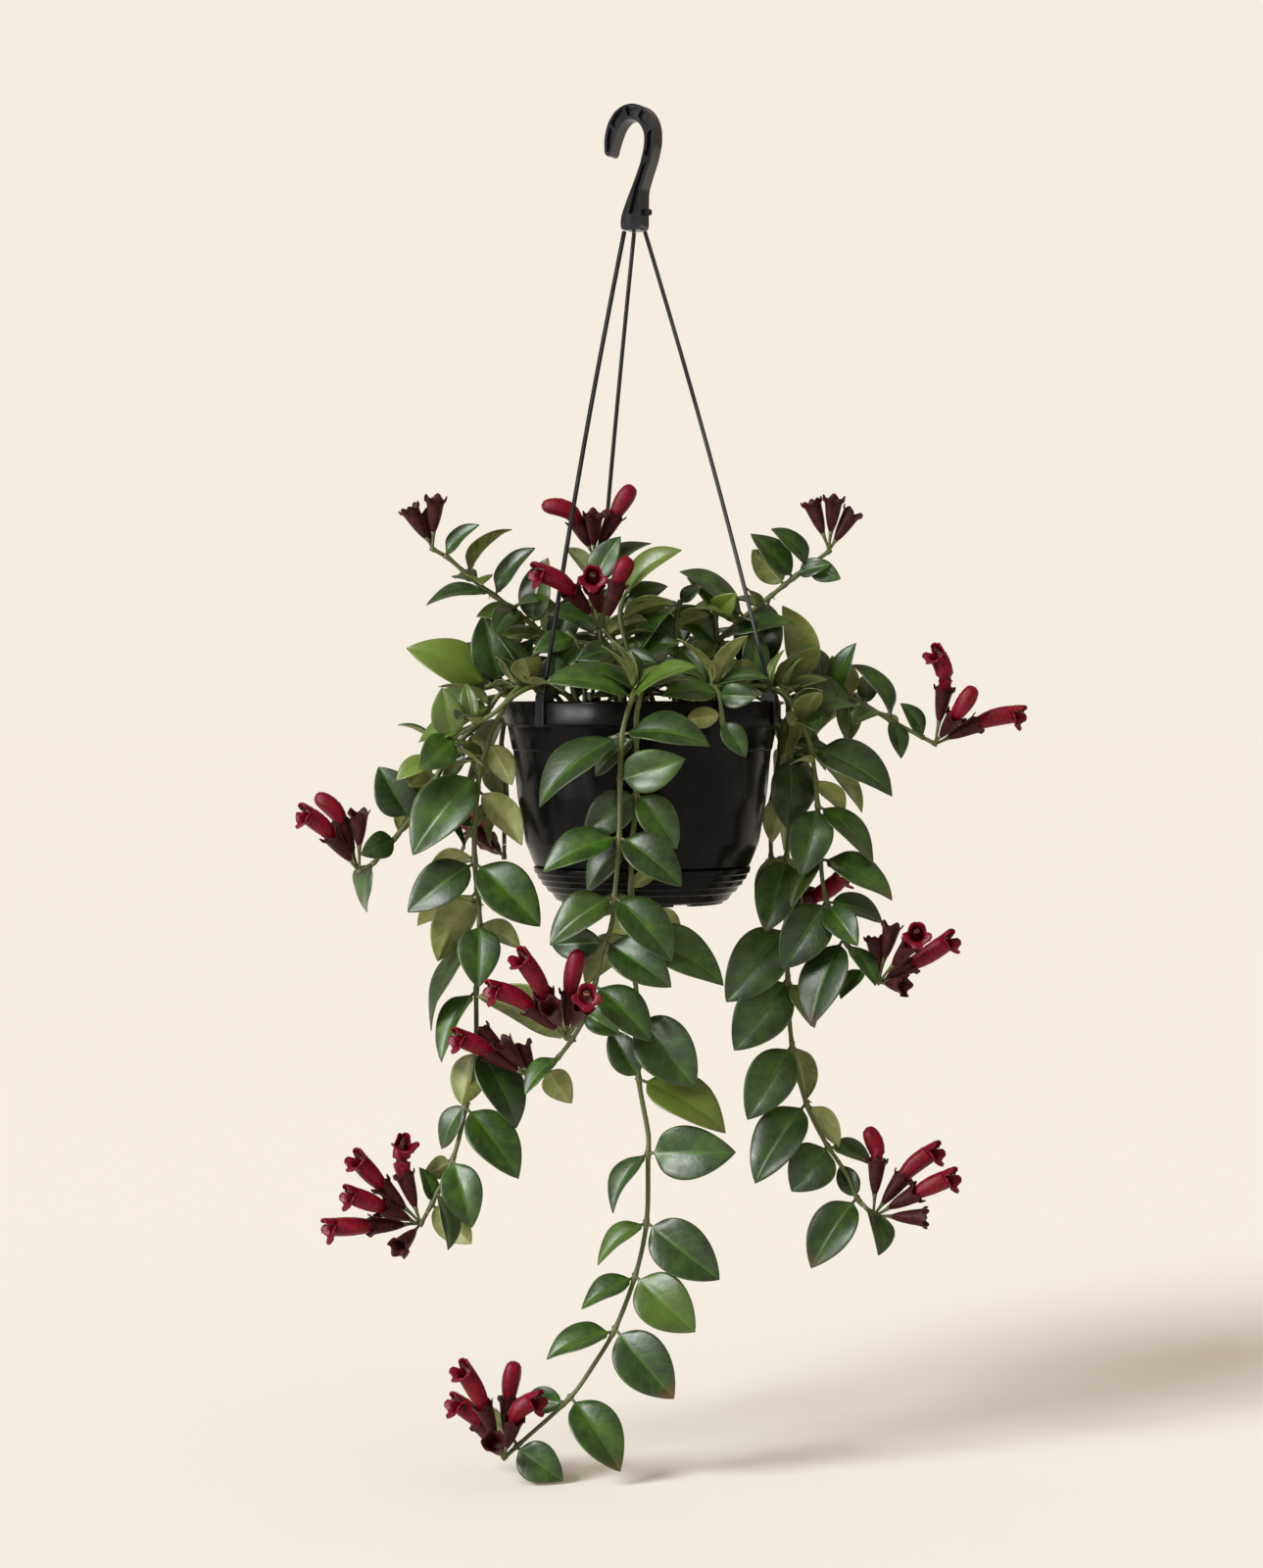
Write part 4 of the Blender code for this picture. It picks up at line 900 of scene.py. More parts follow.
# Stems and leaves
# A stem stands at root (across, depth) and passes the points (across, height, depth) as seen from the front.
# Its leaves are (root across, root height, tip across, tip height, width, tip nearer by), and then "under" if
# the underside shows, and the name of its own tone.
# A bloom's flowers are (mouth across, mouth height, mouth nearer by, kind), and then the place of the end.
stems = {
    "stem_front": {
        "root": (2, -50),
        "route": [(0, -347, -64), (-0.5, -349, -80), (-2, -355, -91), (-5, -364, -94.5), (-7.7, -377, -96),
            (-9, -403, -97), (-9.5, -439, -97), (-12.4, -475, -96), (-14.5, -494, -95), (-18, -503, -95),
            (-24.7, -530, -95), (-33, -550, -96), (-42, -562, -98)],
        "branch": [(-23, -524, -95), (-29, -546, -88), (-38.5, -563, -78), (-48.6, -576, -68),
            (-60.6, -589, -58)],
        "leaves": [(-4, -377, 46, -382.5, 18, 12), (-13, -377, -59, -420, 20, 8),
            (-10, -404, 31, -391, 25, 14), (-8, -439, 28.7, -469, 24, 12),
            (-14.5, -439, -56, -460.5, 20, 8), (-10, -476, 23, -515, 26, 10),
            (-18.6, -475, -52, -505, 22, 8), (-16, -504, 22.4, -531, 26, 14),
            (-20, -503, -51, -505, 20, -14, "dark"), (-23, -530, 9.7, -564, 24, 12),
            (-31, -546, -9, -560, 15, 10), (-44, -562, -97, -537, 25, -16, "under"),
            (-2, -350, -54, -343, 16, 12), (0, -350, 37, -334, 9, 14, "bright"),
            (-50, -577, -67, -597, 12, 12), (-57, -586, -38.6, -602, 18, -10, "under")],
        "bloom": [(-56, -533.6, 14, "open", -74, -506), (-65, -542, 4, "open", -94.5, -531),
            (-52, -542, 28, "empty"), (-39.4, -532.7, 2, "bud", -34, -508), (-31, -541, 25, "facing")],
        "branchBloom": [(-90, -570, 4, "open", -113, -560), (-95, -557, -8, "empty"),
            (-81.6, -564, 10, "empty"), (-70, -565, -2, "empty")],
    },
    "stem_centre": {
        "root": (12, -44),
        "route": [(7, -346, -62), (4, -348, -78), (3, -354, -87), (1, -366, -88.5), (1, -411, -88.5),
            (-2, -452, -88), (-2, -497, -86), (-1, -520, -84), (1, -534, -83), (2.5, -587, -80),
            (8.4, -622, -78), (8.2, -633, -78), (7.3, -674, -76), (0.9, -705.5, -75), (-12, -740, -74),
            (-25, -762, -73), (-39.4, -782, -72), (-68.4, -808.6, -70), (-80, -819, -70)],
        "leaves": [(0, -378, -24, -402, 15, -3, "dark"), (1, -411, -31, -437, 24, -2),
            (1.7, -412, 26, -446, 22, 2), (0, -440, -29, -473, 17, -4, "dark"),
            (-2, -470, 14, -460, 9, 2, "under"), (-2, -475, -24, -488, 11, -5), (5, -499, 55, -530, 26, 12),
            (0, -498, -30, -530, 20, -18, "under"), (0, -548, 37, -592, 34, 10),
            (-1, -587, -15, -557, 20, -6), (8.7, -586.5, 56, -619.5, 27, 8),
            (10.5, -632.5, 62, -632, 32, 14), (0, -632, -14, -669, 12, 8), (7.8, -675, 52, -710, 32, 10),
            (1, -674, -22.6, -701, 12, 4), (-1.4, -707, 37, -742, 32, 12), (-6, -707, -32.6, -728, 14, 6),
            (-10.6, -741, 24, -783, 32, 10), (-18.4, -739, -54, -758.5, 16, 6),
            (-37.6, -783, -9, -827.6, 28, 12), (-44.5, -784, -66, -782, 16, -12),
            (-73, -812, -44, -833, 24, 8), (-72, -812, -100, -800, 11, -16, "under")],
        "bloom": [(-93.6, -785.6, 8, "open", -109, -759), (-77, -782, -6, "bud", -73.4, -760),
            (-95.5, -797, -6, "open", -114, -783), (-73.4, -794, 10, "open", -54, -782),
            (-87, -808.5, 24, "empty")],
    },
    "stem_left": {
        "root": (-50, -26),
        "route": [(-60, -347, -28), (-71, -348, -34), (-78, -355, -40), (-82.7, -364.7, -42),
            (-87.5, -373, -43), (-90, -382, -43), (-95, -400, -43), (-98, -433, -42), (-98, -455, -41),
            (-95, -490, -40), (-97, -532, -40), (-97.5, -567, -40), (-103, -602, -42), (-111, -635, -44),
            (-124, -663, -47), (-131, -676, -50)],
        "leaves": [(-90, -381, -75, -407, 16, 4, "under"), (-96, -400, -136, -450, 32, 12, "glossy"),
            (-93, -411, -69, -444, 18, 2, "under"), (-99, -455, -139, -485, 26, 8),
            (-99, -452, -127, -460, 12, -8, "under"), (-99, -455, -58, -494, 30, 12, "glossy"),
            (-97, -472, -121, -515, 24, 2, "under"), (-97, -480, -134, -494, 12, -12, "under"),
            (-93, -492, -70, -507, 14, -6, "under"), (-94, -492, -96, -531, 26, 16),
            (-97, -501, -126, -559, 11, 8), (-98, -533, -118, -577, 14, 6), (-95, -568, -72, -617, 26, 8),
            (-98, -569, -106, -603, 22, 10, "under"), (-102, -605, -71, -648, 28, 10),
            (-104, -602, -118, -630, 14, -8), (-111, -636, -99.6, -678, 25, 10),
            (-112, -638, -130, -647, 14, -10, "under"), (-124, -664, -100, -688, 20, 6, "under"),
            (-124, -663, -131, -640, 10, -14), (-121, -657, -113, -690, 11, 12)],
        "bloom": [(-141.5, -644.6, -2, "open", -140, -622), (-156, -651, 4, "open", -173, -632),
            (-156, -665, 14, "open", -180, -656), (-163, -677, 8, "open", -193.5, -678),
            (-145, -691, 22, "empty")],
    },
    "stem_far_left": {
        "root": (-54, -4),
        "route": [(-63, -346, -8), (-72, -347, -12), (-82, -351, -15), (-88, -359, -16), (-94, -368.5, -17),
            (-108.6, -382, -18), (-125, -408, -20), (-138, -428, -22), (-153.4, -448, -24),
            (-160, -455, -26), (-168.7, -460, -28)],
        "leaves": [(-140, -426, -157, -396, 26, 6), (-146, -441, -168, -450, 17, 14),
            (-144, -438, -131, -416, 12, -8, "under"), (-160, -455, -167, -487, 12, 2),
            (-105, -380, -114, -404, 14, -6), (-100, -375, -94, -402, 14, 4, "under"),
            (-122, -398, -134, -420, 12, 10, "under")],
        "bloom": [(-187, -436.7, 8, "open", -207, -422), (-180, -429, -6, "bud", -195.6, -413.7),
            (-169, -423, 8, "empty")],
    },
    "shoot_left_rim": {
        "root": (-42, 12),
        "route": [(-58, -345, 8), (-70, -343, 4), (-82, -345, 0), (-92, -347, -2)],
        "leaves": [(-90, -346, -139.6, -323, 26, 8, "young"), (-82, -346, -93, -303, 27, 6, "glossy"),
            (-88, -346, -104, -325, 11, -10), (-80, -346, -117, -351, 16, 12),
            (-74, -344, -63, -318, 14, -6), (-72, -344, -52, -329, 20, 8, "dark")],
    },
    "shoot_left_low": {
        "root": (-34, -42),
        "route": [(-50, -346, -48), (-63, -347, -56), (-76, -354, -63), (-86, -363, -64), (-98, -370, -62),
            (-108, -376, -60), (-117, -384, -58), (-126, -394, -57)],
        "leaves": [(-113, -378, -118, -347, 20, 8), (-111, -378, -132, -397, 22, 14),
            (-104, -374, -133, -381, 12, -8, "light"), (-125, -392, -138, -408, 14, 10, "under"),
            (-124, -390, -145, -404, 12, -4, "young")],
    },
    "stem_upper_left": {
        "root": (-34, -8),
        "route": [(-40, -340, -8), (-46, -324, -10), (-55, -315.6, -14), (-74, -300, -18), (-97, -283, -22),
            (-114.6, -267.7, -26), (-124, -262.5, -28)],
        "leaves": [(-116, -267, -95, -248, 10, 8), (-103, -278, -76, -250, 9, 4, "under"),
            (-85, -291, -61, -262, 12, 6), (-88, -290, -127.6, -297, 9, 12),
            (-66.7, -306, -97, -304, 12, 14), (-55, -316, -84, -318, 9, 10, "bronze"),
            (-62, -310, -53, -268, 20, 8), (-48, -321, -38, -291, 20, 6)],
        "bloom": [(-138.5, -237, 4, "empty"), (-122, -231, 10, "empty"), (-129, -241, -8, "empty")],
    },
    "stem_crown_front": {
        "root": (-10, -8),
        "route": [(-16, -340, -10), (-22, -310, -12), (-26, -285, -12), (-25, -267, -12)],
        "leaves": [(-25, -284, -9, -255, 18, 8), (-25, -286, 10, -259, 13, -8),
            (-25, -280, -42, -262, 10, -6, "under"), (-22, -312, -52, -302, 14, 12),
            (-20, -318, 8, -306, 13, 10, "under")],
        "bloom": [(-36, -244, 4, "bud", -57, -236.5), (-25, -240.5, 12, "empty"),
            (-11.5, -240.6, 0, "bud", -1, -224)],
    },
    "stem_crown_low": {
        "root": (-8, -32),
        "route": [(-9, -345, -36), (-10, -330, -38), (-14, -318, -40), (-18.8, -312, -41)],
        "leaves": [(-12, -325, -36, -331, 12, 10), (-11, -328, -24, -346, 12, 6, "under"),
            (-10, -330, 14, -333, 12, 12)],
        "bloom": [(-39.6, -287.5, 20, "open", -67, -274.5), (-25, -285, 24, "facing"),
            (-10.4, -283, -2, "bud", -2.8, -268)],
    },
    "shoot_crown_left": {
        "root": (-30, -24),
        "route": [(-31, -346, -25), (-33, -330, -26), (-36, -319, -27), (-42, -313, -27)],
        "leaves": [(-38, -318, -62, -326, 14, 14), (-35, -322, -50, -344, 14, 8),
            (-33, -330, -8, -341, 14, 12), (-32, -332, -62, -341, 16, 12)],
    },
    "shoot_crown_mid": {
        "root": (4, -22),
        "route": [(1, -340, -22), (-6, -318, -22), (-9, -304, -22), (-7, -292, -22)],
        "leaves": [(-7, -292, 28.4, -263, 13, 8), (-8, -299, 20, -285, 13, -6),
            (-9, -306, 24, -296, 12, 10, "under"), (-2, -327, 27, -320, 14, 12)],
    },
    "shoot_crown_right": {
        "root": (26, -14),
        "route": [(26, -340, -14), (25, -320, -14), (26, -304, -13), (28, -294, -12)],
        "leaves": [(27, -297, 2, -327, 12, 12), (28, -295, 41, -285, 9, 6), (25, -322, 44, -343, 16, 12),
            (26, -310, 46, -303, 12, -8, "under"), (25, -318, 5, -300, 14, -8)],
    },
    "stem_upper_right": {
        "root": (42, -2),
        "route": [(46, -340, 0), (51, -320, 2), (61.7, -309, 4), (81.4, -293, 8), (102, -276.5, 10),
            (119, -264, 12)],
        "branch": [(51, -321, 2), (50, -310, -2), (49, -300, -4)],
        "leaves": [(66, -304, 28, -276, 12, 6), (91, -284, 72, -263, 18, 6, "under"),
            (96, -280, 70.5, -254, 16, -8, "dark"), (106, -273, 84, -250, 12, 6),
            (100, -278, 120, -272, 11, 10), (107, -272, 126, -281, 14, 10), (53, -318, 98, -309, 11, 14),
            (83, -292, 70, -341, 30, 12, "dark"), (50, -322, 24, -297, 12, 8), (49, -324, 32, -333, 20, 14),
            (49, -301, 32, -280, 10, 4, "bronze"), (49, -302, 62, -290, 12, 8, "young"),
            (47, -338, 74, -341, 14, 14, "under")],
        "bloom": [(108, -233, 2, "empty"), (122, -231, 10, "empty"), (134, -239, 4, "empty")],
    },
    "stem_right": {
        "root": (54, 20),
        "route": [(70, -345, 24), (84, -345, 26), (103, -345, 26), (133, -354, 26), (156.6, -367.5, 26),
            (184, -382, 26)],
        "leaves": [(104, -345, 131, -356, 11, 12), (130, -353, 130.7, -381, 16, 8),
            (92, -345, 124, -360, 16, 14), (133, -354, 121, -328, 20, 6, "under"),
            (158, -367, 134, -333, 11, 4), (156, -368, 163, -391, 12, 8), (178, -378, 163, -357, 11, 6),
            (103, -345, 91, -297, 22, 10, "under"), (82, -345, 52, -338, 14, -8, "dark")],
        "bloom": [(189.8, -347, 2, "open", 180.7, -320.6), (197, -364, 10, "bud", 208, -347),
            (211, -369, 0, "open", 242.5, -363.5)],
    },
    "stem_right_trailing": {
        "root": (58, 0),
        "route": [(72, -347, 1), (84, -348, 2), (92, -353, 3), (94.5, -362, 3), (95, -382, 3),
            (95, -433, 3), (93, -451, 3), (92.6, -493, 2), (93.5, -520, 1), (96, -564, 0), (104, -599, -2),
            (115, -623, -4), (130, -646, -6), (136, -660, -8), (146, -671, -10)],
        "leaves": [(94, -362, 90, -390, 16, -10, "under"), (94, -389, 93, -434, 30, 12),
            (94, -410, 84, -443, 16, -10, "under"), (92, -451, 74, -475, 18, 2, "under"),
            (94, -451, 80, -497, 28, 12), (92.6, -493, 56, -540, 34, 10),
            (93, -493, 116, -520, 14, -14, "under"), (93.7, -525, 61, -569.5, 34, 10),
            (94, -528, 110, -556, 14, 6), (96, -566, 69, -612, 30, 10),
            (97, -566, 105, -600, 16, -6, "under"), (101.6, -603.5, 73.6, -651, 30, 10),
            (106, -603, 125, -629, 14, 2, "under"), (118, -628, 96, -656, 30, 10),
            (120, -628, 146, -640, 12, -12), (134, -661, 108, -703, 27, 10),
            (134, -661, 126, -640, 14, -12), (138, -664, 148, -690, 12, 8)],
        "bloom": [(148.4, -636, -4, "bud", 142, -617), (165, -646, 0, "open", 190.7, -628),
            (174, -656, 10, "open", 199.5, -645), (179, -672, 6, "empty")],
    },
    "stem_right_mid": {
        "root": (50, -20),
        "route": [(70, -347, -22), (83, -348, -23), (93, -352, -23), (98, -360, -23), (103, -371, -23),
            (108, -385, -22), (112, -420, -22), (113.8, -454, -22), (117.3, -478, -22), (127, -500, -23),
            (141, -520, -24), (149.4, -528, -25)],
        "leaves": [(108.5, -385, 158, -413, 24, 12), (109, -388, 139, -424, 12, -10, "under"),
            (112, -420, 146, -455, 16, 4), (112, -420, 102, -463, 27, 14),
            (111, -404, 128, -425, 12, -12, "under"), (114, -452.5, 158, -477, 18, 10),
            (113, -452, 96, -482, 14, 12), (117, -478, 90, -520, 30, 12), (120, -480, 136, -505, 20, 14),
            (118, -479, 152, -491, 14, -10), (127, -502, 108, -555, 27, 12), (131, -505, 147, -529, 12, 6),
            (141, -520, 126, -538, 11, 10)],
        "bloom": [(147, -500, -4, "empty"), (157.7, -492, 2, "empty"), (170, -503, 20, "facing"),
            (171, -516, 2, "open", 199, -497), (166, -530, 12, "empty")],
    },
    "shoot_front_right": {
        "root": (44, -36),
        "route": [(46, -347, -46), (49, -347, -58), (52, -353, -72), (53, -362, -77), (54, -372, -79)],
        "leaves": [(49, -347, 17, -352, 14, 14), (50, -349, 75, -353, 15, 12),
            (53, -364, 32, -367, 13, 10, "under"), (54, -368, 68, -390, 14, 4)],
    },
}
# Stems at the back hang by rule: root, bearing round the pot in degrees, lowest point
backStems = {"stem_back_left": ((-30, 34), 156, -470), "stem_back": ((4, 52), 88, -520),
             "stem_back_right": ((40, 32), 26, -490)}
# Short shoots at the back of the crown: root, bearing, reach past the root, rise above the soil
backShoots = {"shoot_back_left": ((-36, 24), 160, 48, 42), "shoot_back": ((-6, 28), 118, 44, 50),
              "shoot_back_right": ((24, 26), 62, 46, 44)}
# Their routes over the rim as (reach, height), and then how far out they hang
backGrowth = {
    "overRim": [(66.0, -346.0), (80.0, -347.0), (89.0, -354.0), (93.0, -366.0), (96.0, -385.0)],
    "hang": 92.0,
    "sway": 0.05,
    "pitch": 34.0,
    "leaf": 46.0,
}

stem = {
    "radius": 1.7,
    "tipRadius": 1.3,
    "sides": 10,
    "step": 3.0,
    "foot": -376.0,        # how deep a stem's foot stands in the soil
    "neckLength": 8.0,     # the last of a stem grows with its bloom
    "seatGap": 0.3,
    "nodeSwell": 0.55,
    "nodeWidth": 2.2,
    "aerialRoots": 0.3,    # the share of the nodes that bear a short root
}
leaf = {
    "proportion": 0.56,    # a leaf's full width as a share of its length
    "arch": 0.10,
    "cells": (-1.0, -0.9, -0.68, -0.42, -0.13, 0.0, 0.13, 0.42, 0.68, 0.9, 1.0),   # across a blade
    "rows": 24,            # along a blade
    "petiole": 0.1,        # the share of a leaf's length that is its stalk
    "stalkSpots": (-0.03, 0.02, 0.06, 0.09),
    "outline": (0.62, 0.93),       # how full a blade is near its stalk and near its tip
    "fold": (0.22, 0.58),          # how far the halves rise from the rib, at least and at most
    "curl": (-0.015, 0.035),       # how far the tip curls back, as a share of the length
    "curlStart": 0.75,
    "wave": (0.03, 0.08),          # how wavy the margin is
    "lean": (-0.175, 0.175),       # how far a blade twists towards its tip
    "thick": 0.3,          # half the thickness of a blade
    "stalkThick": 0.9,     # half the thickness of its stalk
    "groove": (0.3, 0.45),         # the rib's groove above, and its ridge below
    "potSpare": 2.2,       # how far a blade stays from the pot
    "overlap": 0.4,        # how far its foot reaches into the stem
}
# A leaf's plain solid in the frame, by which its posture is found again
plain = {
    "thick": 0.7,
    "smallLeaf": 21.0,     # up to this width a solid has one ring less
    "ring": (0.66, 0.78),          # the last ring's place and width on a leaf, and on a small one
    "smallRing": (0.42, 1.0),
    "edge": 0.75,          # half the width of its stalk
    "sizes": (1.0, 0.82),  # a leaf without room was tried once more at the second size
    "match": 0.03,         # how close a corner lies when the posture is right
}
# Postures that a leaf tried in turn: tip nearer by, blade turned by degrees
shifts = [(0, 0), (8, 0), (-8, 0), (0, 14), (0, -14), (14, 0), (-14, 0), (8, 24), (-8, -24), (20, 0),
          (-20, 0), (28, 0), (-28, 0), (14, 40), (-14, -40), (36, 0), (-36, 0)]
# Lightness, youth and browning of the leaves that differ from their neighbours. The leaves that shine in the
# light are given a lighter tone, which is painted sheen
ownTones = {"young": (0.8, 0.5, 0.1), "light": (0.9, 0.2, 0.0), "bright": (1.0, 0.16, 0.0),
            "bronze": (0.5, 0.35, 0.9), "glossy": (0.62, 0.0, 0.1), "dark": (0.05, 0.0, 0.0)}
# The places of a leaf's materials on its piece
upperSlot, underSlot, stalkSlot = range(3)
# How green each kind of stem still is
greens = {"stem": 0.5, "shoot": 0.65, "backStem": 0.3, "backShoot": 0.6}


def rarely(draw, share, strength):
    # 0 for most leaves, and up to share * strength for the rest
    return max(0.0, draw.random() - (1 - share)) * strength


def sight(across, height, depth):
    # the point at this depth that is seen at this place on the plane of the pot's axis
    share = (depth - eye.y) / -eye.y
    return Vector((eye.x + (across - eye.x) * share, depth, eye.z + (height - eye.z) * share))


def archPoint(root, run, look, share):
    # a point on the arch of a blade that rises towards its upper face
    return root + run * share + look * run.length * leaf["arch"] * 4 * share * (1 - share)


def potReach(height):
    # how far the wall of the pot or the saucer stands from their axis, or 0 above and below them
    profile = pot["outer"][1:9] + saucer["outer"]
    for (wide, top), (narrow, low) in zip(profile, profile[1:]):
        if low <= height <= top:
            return max(wide, narrow)
    return 0.0


def clearOfPot(point, share=1.0):
    # a point in or close to the pot's wall is moved straight out from it
    reach = Vector((point.x - potAxis, point.y, 0))
    wall = potReach(point.z)
    least = wall + leaf["potSpare"]
    if wall > 0 and 0 < reach.length < least:
        return point + reach.normalized() * (least - reach.length) * share
    return point


def stemFoot(root):
    # a stem's foot in the soil, and where it comes out
    return [Vector((*root, stem["foot"])), Vector((*root, soil["top"] + 3))]


def backRow(root, bearing, low):
    # a stem that leaves over the rim and hangs behind the pot, with a pair of leaves at every bend
    turn = radians(bearing)
    route = stemFoot(root) + [aroundPot(reach, turn, height) for reach, height in backGrowth["overRim"]]
    height = backGrowth["overRim"][-1][1] - backGrowth["pitch"]
    while height > low:
        route.append(aroundPot(backGrowth["hang"], turn + backGrowth["sway"] * sin(height / 40), height))
        height -= backGrowth["pitch"]
    blades = []
    for number, point in enumerate(route[5:]):
        for side in (-1, 1):
            spread = turn + side * (1.25 if number % 2 else 0.75)
            reach = Vector((cos(spread), sin(spread), -1.05 - 0.1 * (number % 3)))
            size = backGrowth["leaf"] * (1.0 - 0.05 * (number % 4))
            blades.append((point, point + reach.normalized() * size, size * leaf["proportion"],
                           Vector((cos(turn), sin(turn), 0.6)), None))
    return route, blades


def shootRow(root, bearing, reach, rise):
    # a short shoot that rises behind the crown, with three pairs of leaves
    turn = radians(bearing)
    outward = Vector((cos(turn), sin(turn), 0))
    shares = (0.35, 0.7, 1.0)
    route = stemFoot(root)
    route += [route[1] + outward * reach * share ** 1.6 + Vector((0, 0, rise * sin(share * 2.2)))
              for share in shares]
    blades = []
    size = backGrowth["leaf"]
    for number, share in enumerate(shares):
        point = route[number + 2]
        for side in (-1, 1):
            spread = turn + side * (0.5 if number == 2 else 1.3) + 0.09
            ahead = Vector((cos(spread), sin(spread), 0.35 - 0.5 * share))
            blades.append((point, point + ahead.normalized() * size, size * leaf["proportion"],
                           Vector((0, 0, 1)), None))
    return route, blades


def shortened(route, length):
    # a route without the last of its length, and the part cut off, which grew with its bloom
    kept = list(route)
    cut = [kept.pop()]
    left = length
    while (kept[-1] - cut[0]).length < left:
        left -= (kept[-1] - cut[0]).length
        cut.insert(0, kept.pop())
    ahead = (cut[0] - kept[-1]).normalized()
    end = cut[0] - ahead * left
    kept.append(end)
    cut.insert(0, end + ahead * stem["seatGap"])
    return kept, cut


def nearest(route, point):
    # the place on a route, past its foot, that is closest to a point
    best = None
    for start, end in zip(route[1:], route[2:]):
        run = end - start
        share = max(0.0, min(0.97, (point - start).dot(run) / run.length_squared))
        found = start + run * share
        if best is None or (found - point).length < (best - point).length:
            best = found
    return best


def leafRoot(routes, across, height):
    # where a leaf seen at this place leaves its stem
    guess = sight(across, height, routes[0][-1].y)
    found = [nearest(route, sight(across, height, nearest(route, guess).y)) for route in routes]
    return min(found, key=lambda point: (point.x - guess.x) ** 2 + (point.z - guess.z) ** 2)


def leafNormal(root, tip, width, face):
    # a blade seen narrower than it is wide stands turned from the eye. It turns its upper face up
    along = (tip - root).normalized()
    flat = squareTo((eye - root).normalized(), along)
    aside = along.cross(flat)
    full = max(leaf["proportion"] * (tip - root).length, width)
    turn = acos(width / full)
    one = (flat * cos(turn) + aside * sin(turn)) * face
    other = (flat * cos(turn) - aside * sin(turn)) * face
    return (one if one.z > other.z else other), full


def lastRing(root, tip, width, look):
    # the corners of the plain blade's last ring, which tell one posture from another
    share, wide = plain["ring"] if width > plain["smallLeaf"] else plain["smallRing"]
    run = tip - root
    along = run.normalized()
    look = squareTo(look, along)
    aside = along.cross(look)
    centre = clearOfPot(archPoint(root, run, look, share))
    edge = plain["edge"] + wide * (width / 2 - plain["edge"])
    half = plain["thick"] / 2
    return [centre + aside * edge * s + look * half * t for s in (1, -1) for t in (1, -1)]


def findPosture(tree, root, tip, width, face, look=None):
    # the posture in which the leaf's plain solid stands in the frame, or None where it was left out
    close = plain["match"] * mm
    best, score = None, 1
    for size in plain["sizes"]:
        for nearer, turn in shifts:
            end = root + (tip - root) * size - Vector((0, nearer, 0))
            way, full = (look, width) if look else leafNormal(root, end, width * size, face)
            if (tree.find(clearOfPot(end) * mm)[2] or 0) > close:
                continue
            along = (end - root).normalized()
            way = way * cos(radians(turn)) + along.cross(way) * sin(radians(turn))
            found = sum(tree.find(corner * mm)[2] < close for corner in lastRing(root, end, full, way))
            if found >= score:
                best, score = (end, full, way), found + 1
    return best


def addLeaf(batch, root, tip, width, look, tone, draw):
    # stalk and blade as one closed skin
    run = tip - root
    length = run.length
    along = run.normalized()
    look = squareTo(look, along)
    side = along.cross(look)
    fold = draw.uniform(*leaf["fold"])
    curl = length * draw.uniform(*leaf["curl"])
    wave, phase = draw.uniform(*leaf["wave"]), draw.random() * 6
    lean = draw.uniform(*leaf["lean"])
    cells, rows, stalk = leaf["cells"], leaf["rows"], leaf["petiole"]
    loop = [(x, 1) for x in cells] + [(x, -1) for x in cells[-2:0:-1]]
    spots = list(leaf["stalkSpots"])
    spots += [stalk + (1 - stalk) * (0.015 + 0.985 * (k / rows) ** 1.12) for k in range(rows + 1)]
    base = len(batch["points"])
    centres = []
    for s in spots:
        # the stalk keeps its place beside the pot
        ease = min(1.0, max(0.0, (s - 0.2) / 0.15))
        centre = clearOfPot(archPoint(root, run, look, s), ease)
        if s > leaf["curlStart"]:
            centre = centre - look * curl * ((s - leaf["curlStart"]) / (1 - leaf["curlStart"])) ** 2
        centres.append(centre)
    a, b = leaf["outline"]
    top = (a / (a + b)) ** a * (b / (a + b)) ** b
    for i, s in enumerate(spots):
        t = max(0.0, (s - stalk) / (1 - stalk))
        outline = (t ** a) * ((1 - t) ** b) / top if 0 < t < 1 else 0.0
        blade = min(1.0, t / 0.12)
        half = max(0.95 * (1 - blade), 0.12) + outline * (width / 2 - 0.1)
        ahead = (centres[min(i + 1, len(spots) - 1)] - centres[max(i - 1, 0)]).normalized()
        rise = squareTo(look, ahead)
        twist = lean * (t - 0.3)
        aside = side * cos(twist) + rise * sin(twist)
        rise = rise * cos(twist) - side * sin(twist)
        thick = leaf["stalkThick"] * (1 - blade) + leaf["thick"] * blade
        for x, face in loop:
            # a rounded edge, halves that rise and level out, a wavy margin, and a groove along the rib
            body = (1 - abs(x) ** (2 + 5 * blade)) ** 0.5 * thick * face
            lift = blade * fold * half * (abs(x) - 0.42 * x * x)
            lift += blade * wave * half * x * x * sin(7 * t + phase + (1.3 if x > 0 else 0))
            groove = exp(-(x * half) ** 2) * blade * min(1.0, 3 * (1 - t))
            lift -= groove * leaf["groove"][0 if face > 0 else 1]
            batch["points"].append(centres[i] + aside * x * half + rise * (body + lift))
            batch["uv"].append((t, 0.5 + x / 2))
            batch["tone"].append(tone)
    sides, upper = len(loop), len(cells) - 1
    for r in range(len(spots) - 1):
        for k in range(sides):
            one, two = base + r * sides + k, base + r * sides + (k + 1) % sides
            batch["faces"].append((one + sides, two + sides, two, one))
            batch["slots"].append(stalkSlot if r < 3 else (upperSlot if k < upper else underSlot))
    last = base + (len(spots) - 1) * sides
    batch["faces"] += [tuple(range(base, base + sides)), tuple(reversed(range(last, last + sides)))]
    batch["slots"] += [stalkSlot, upperSlot]


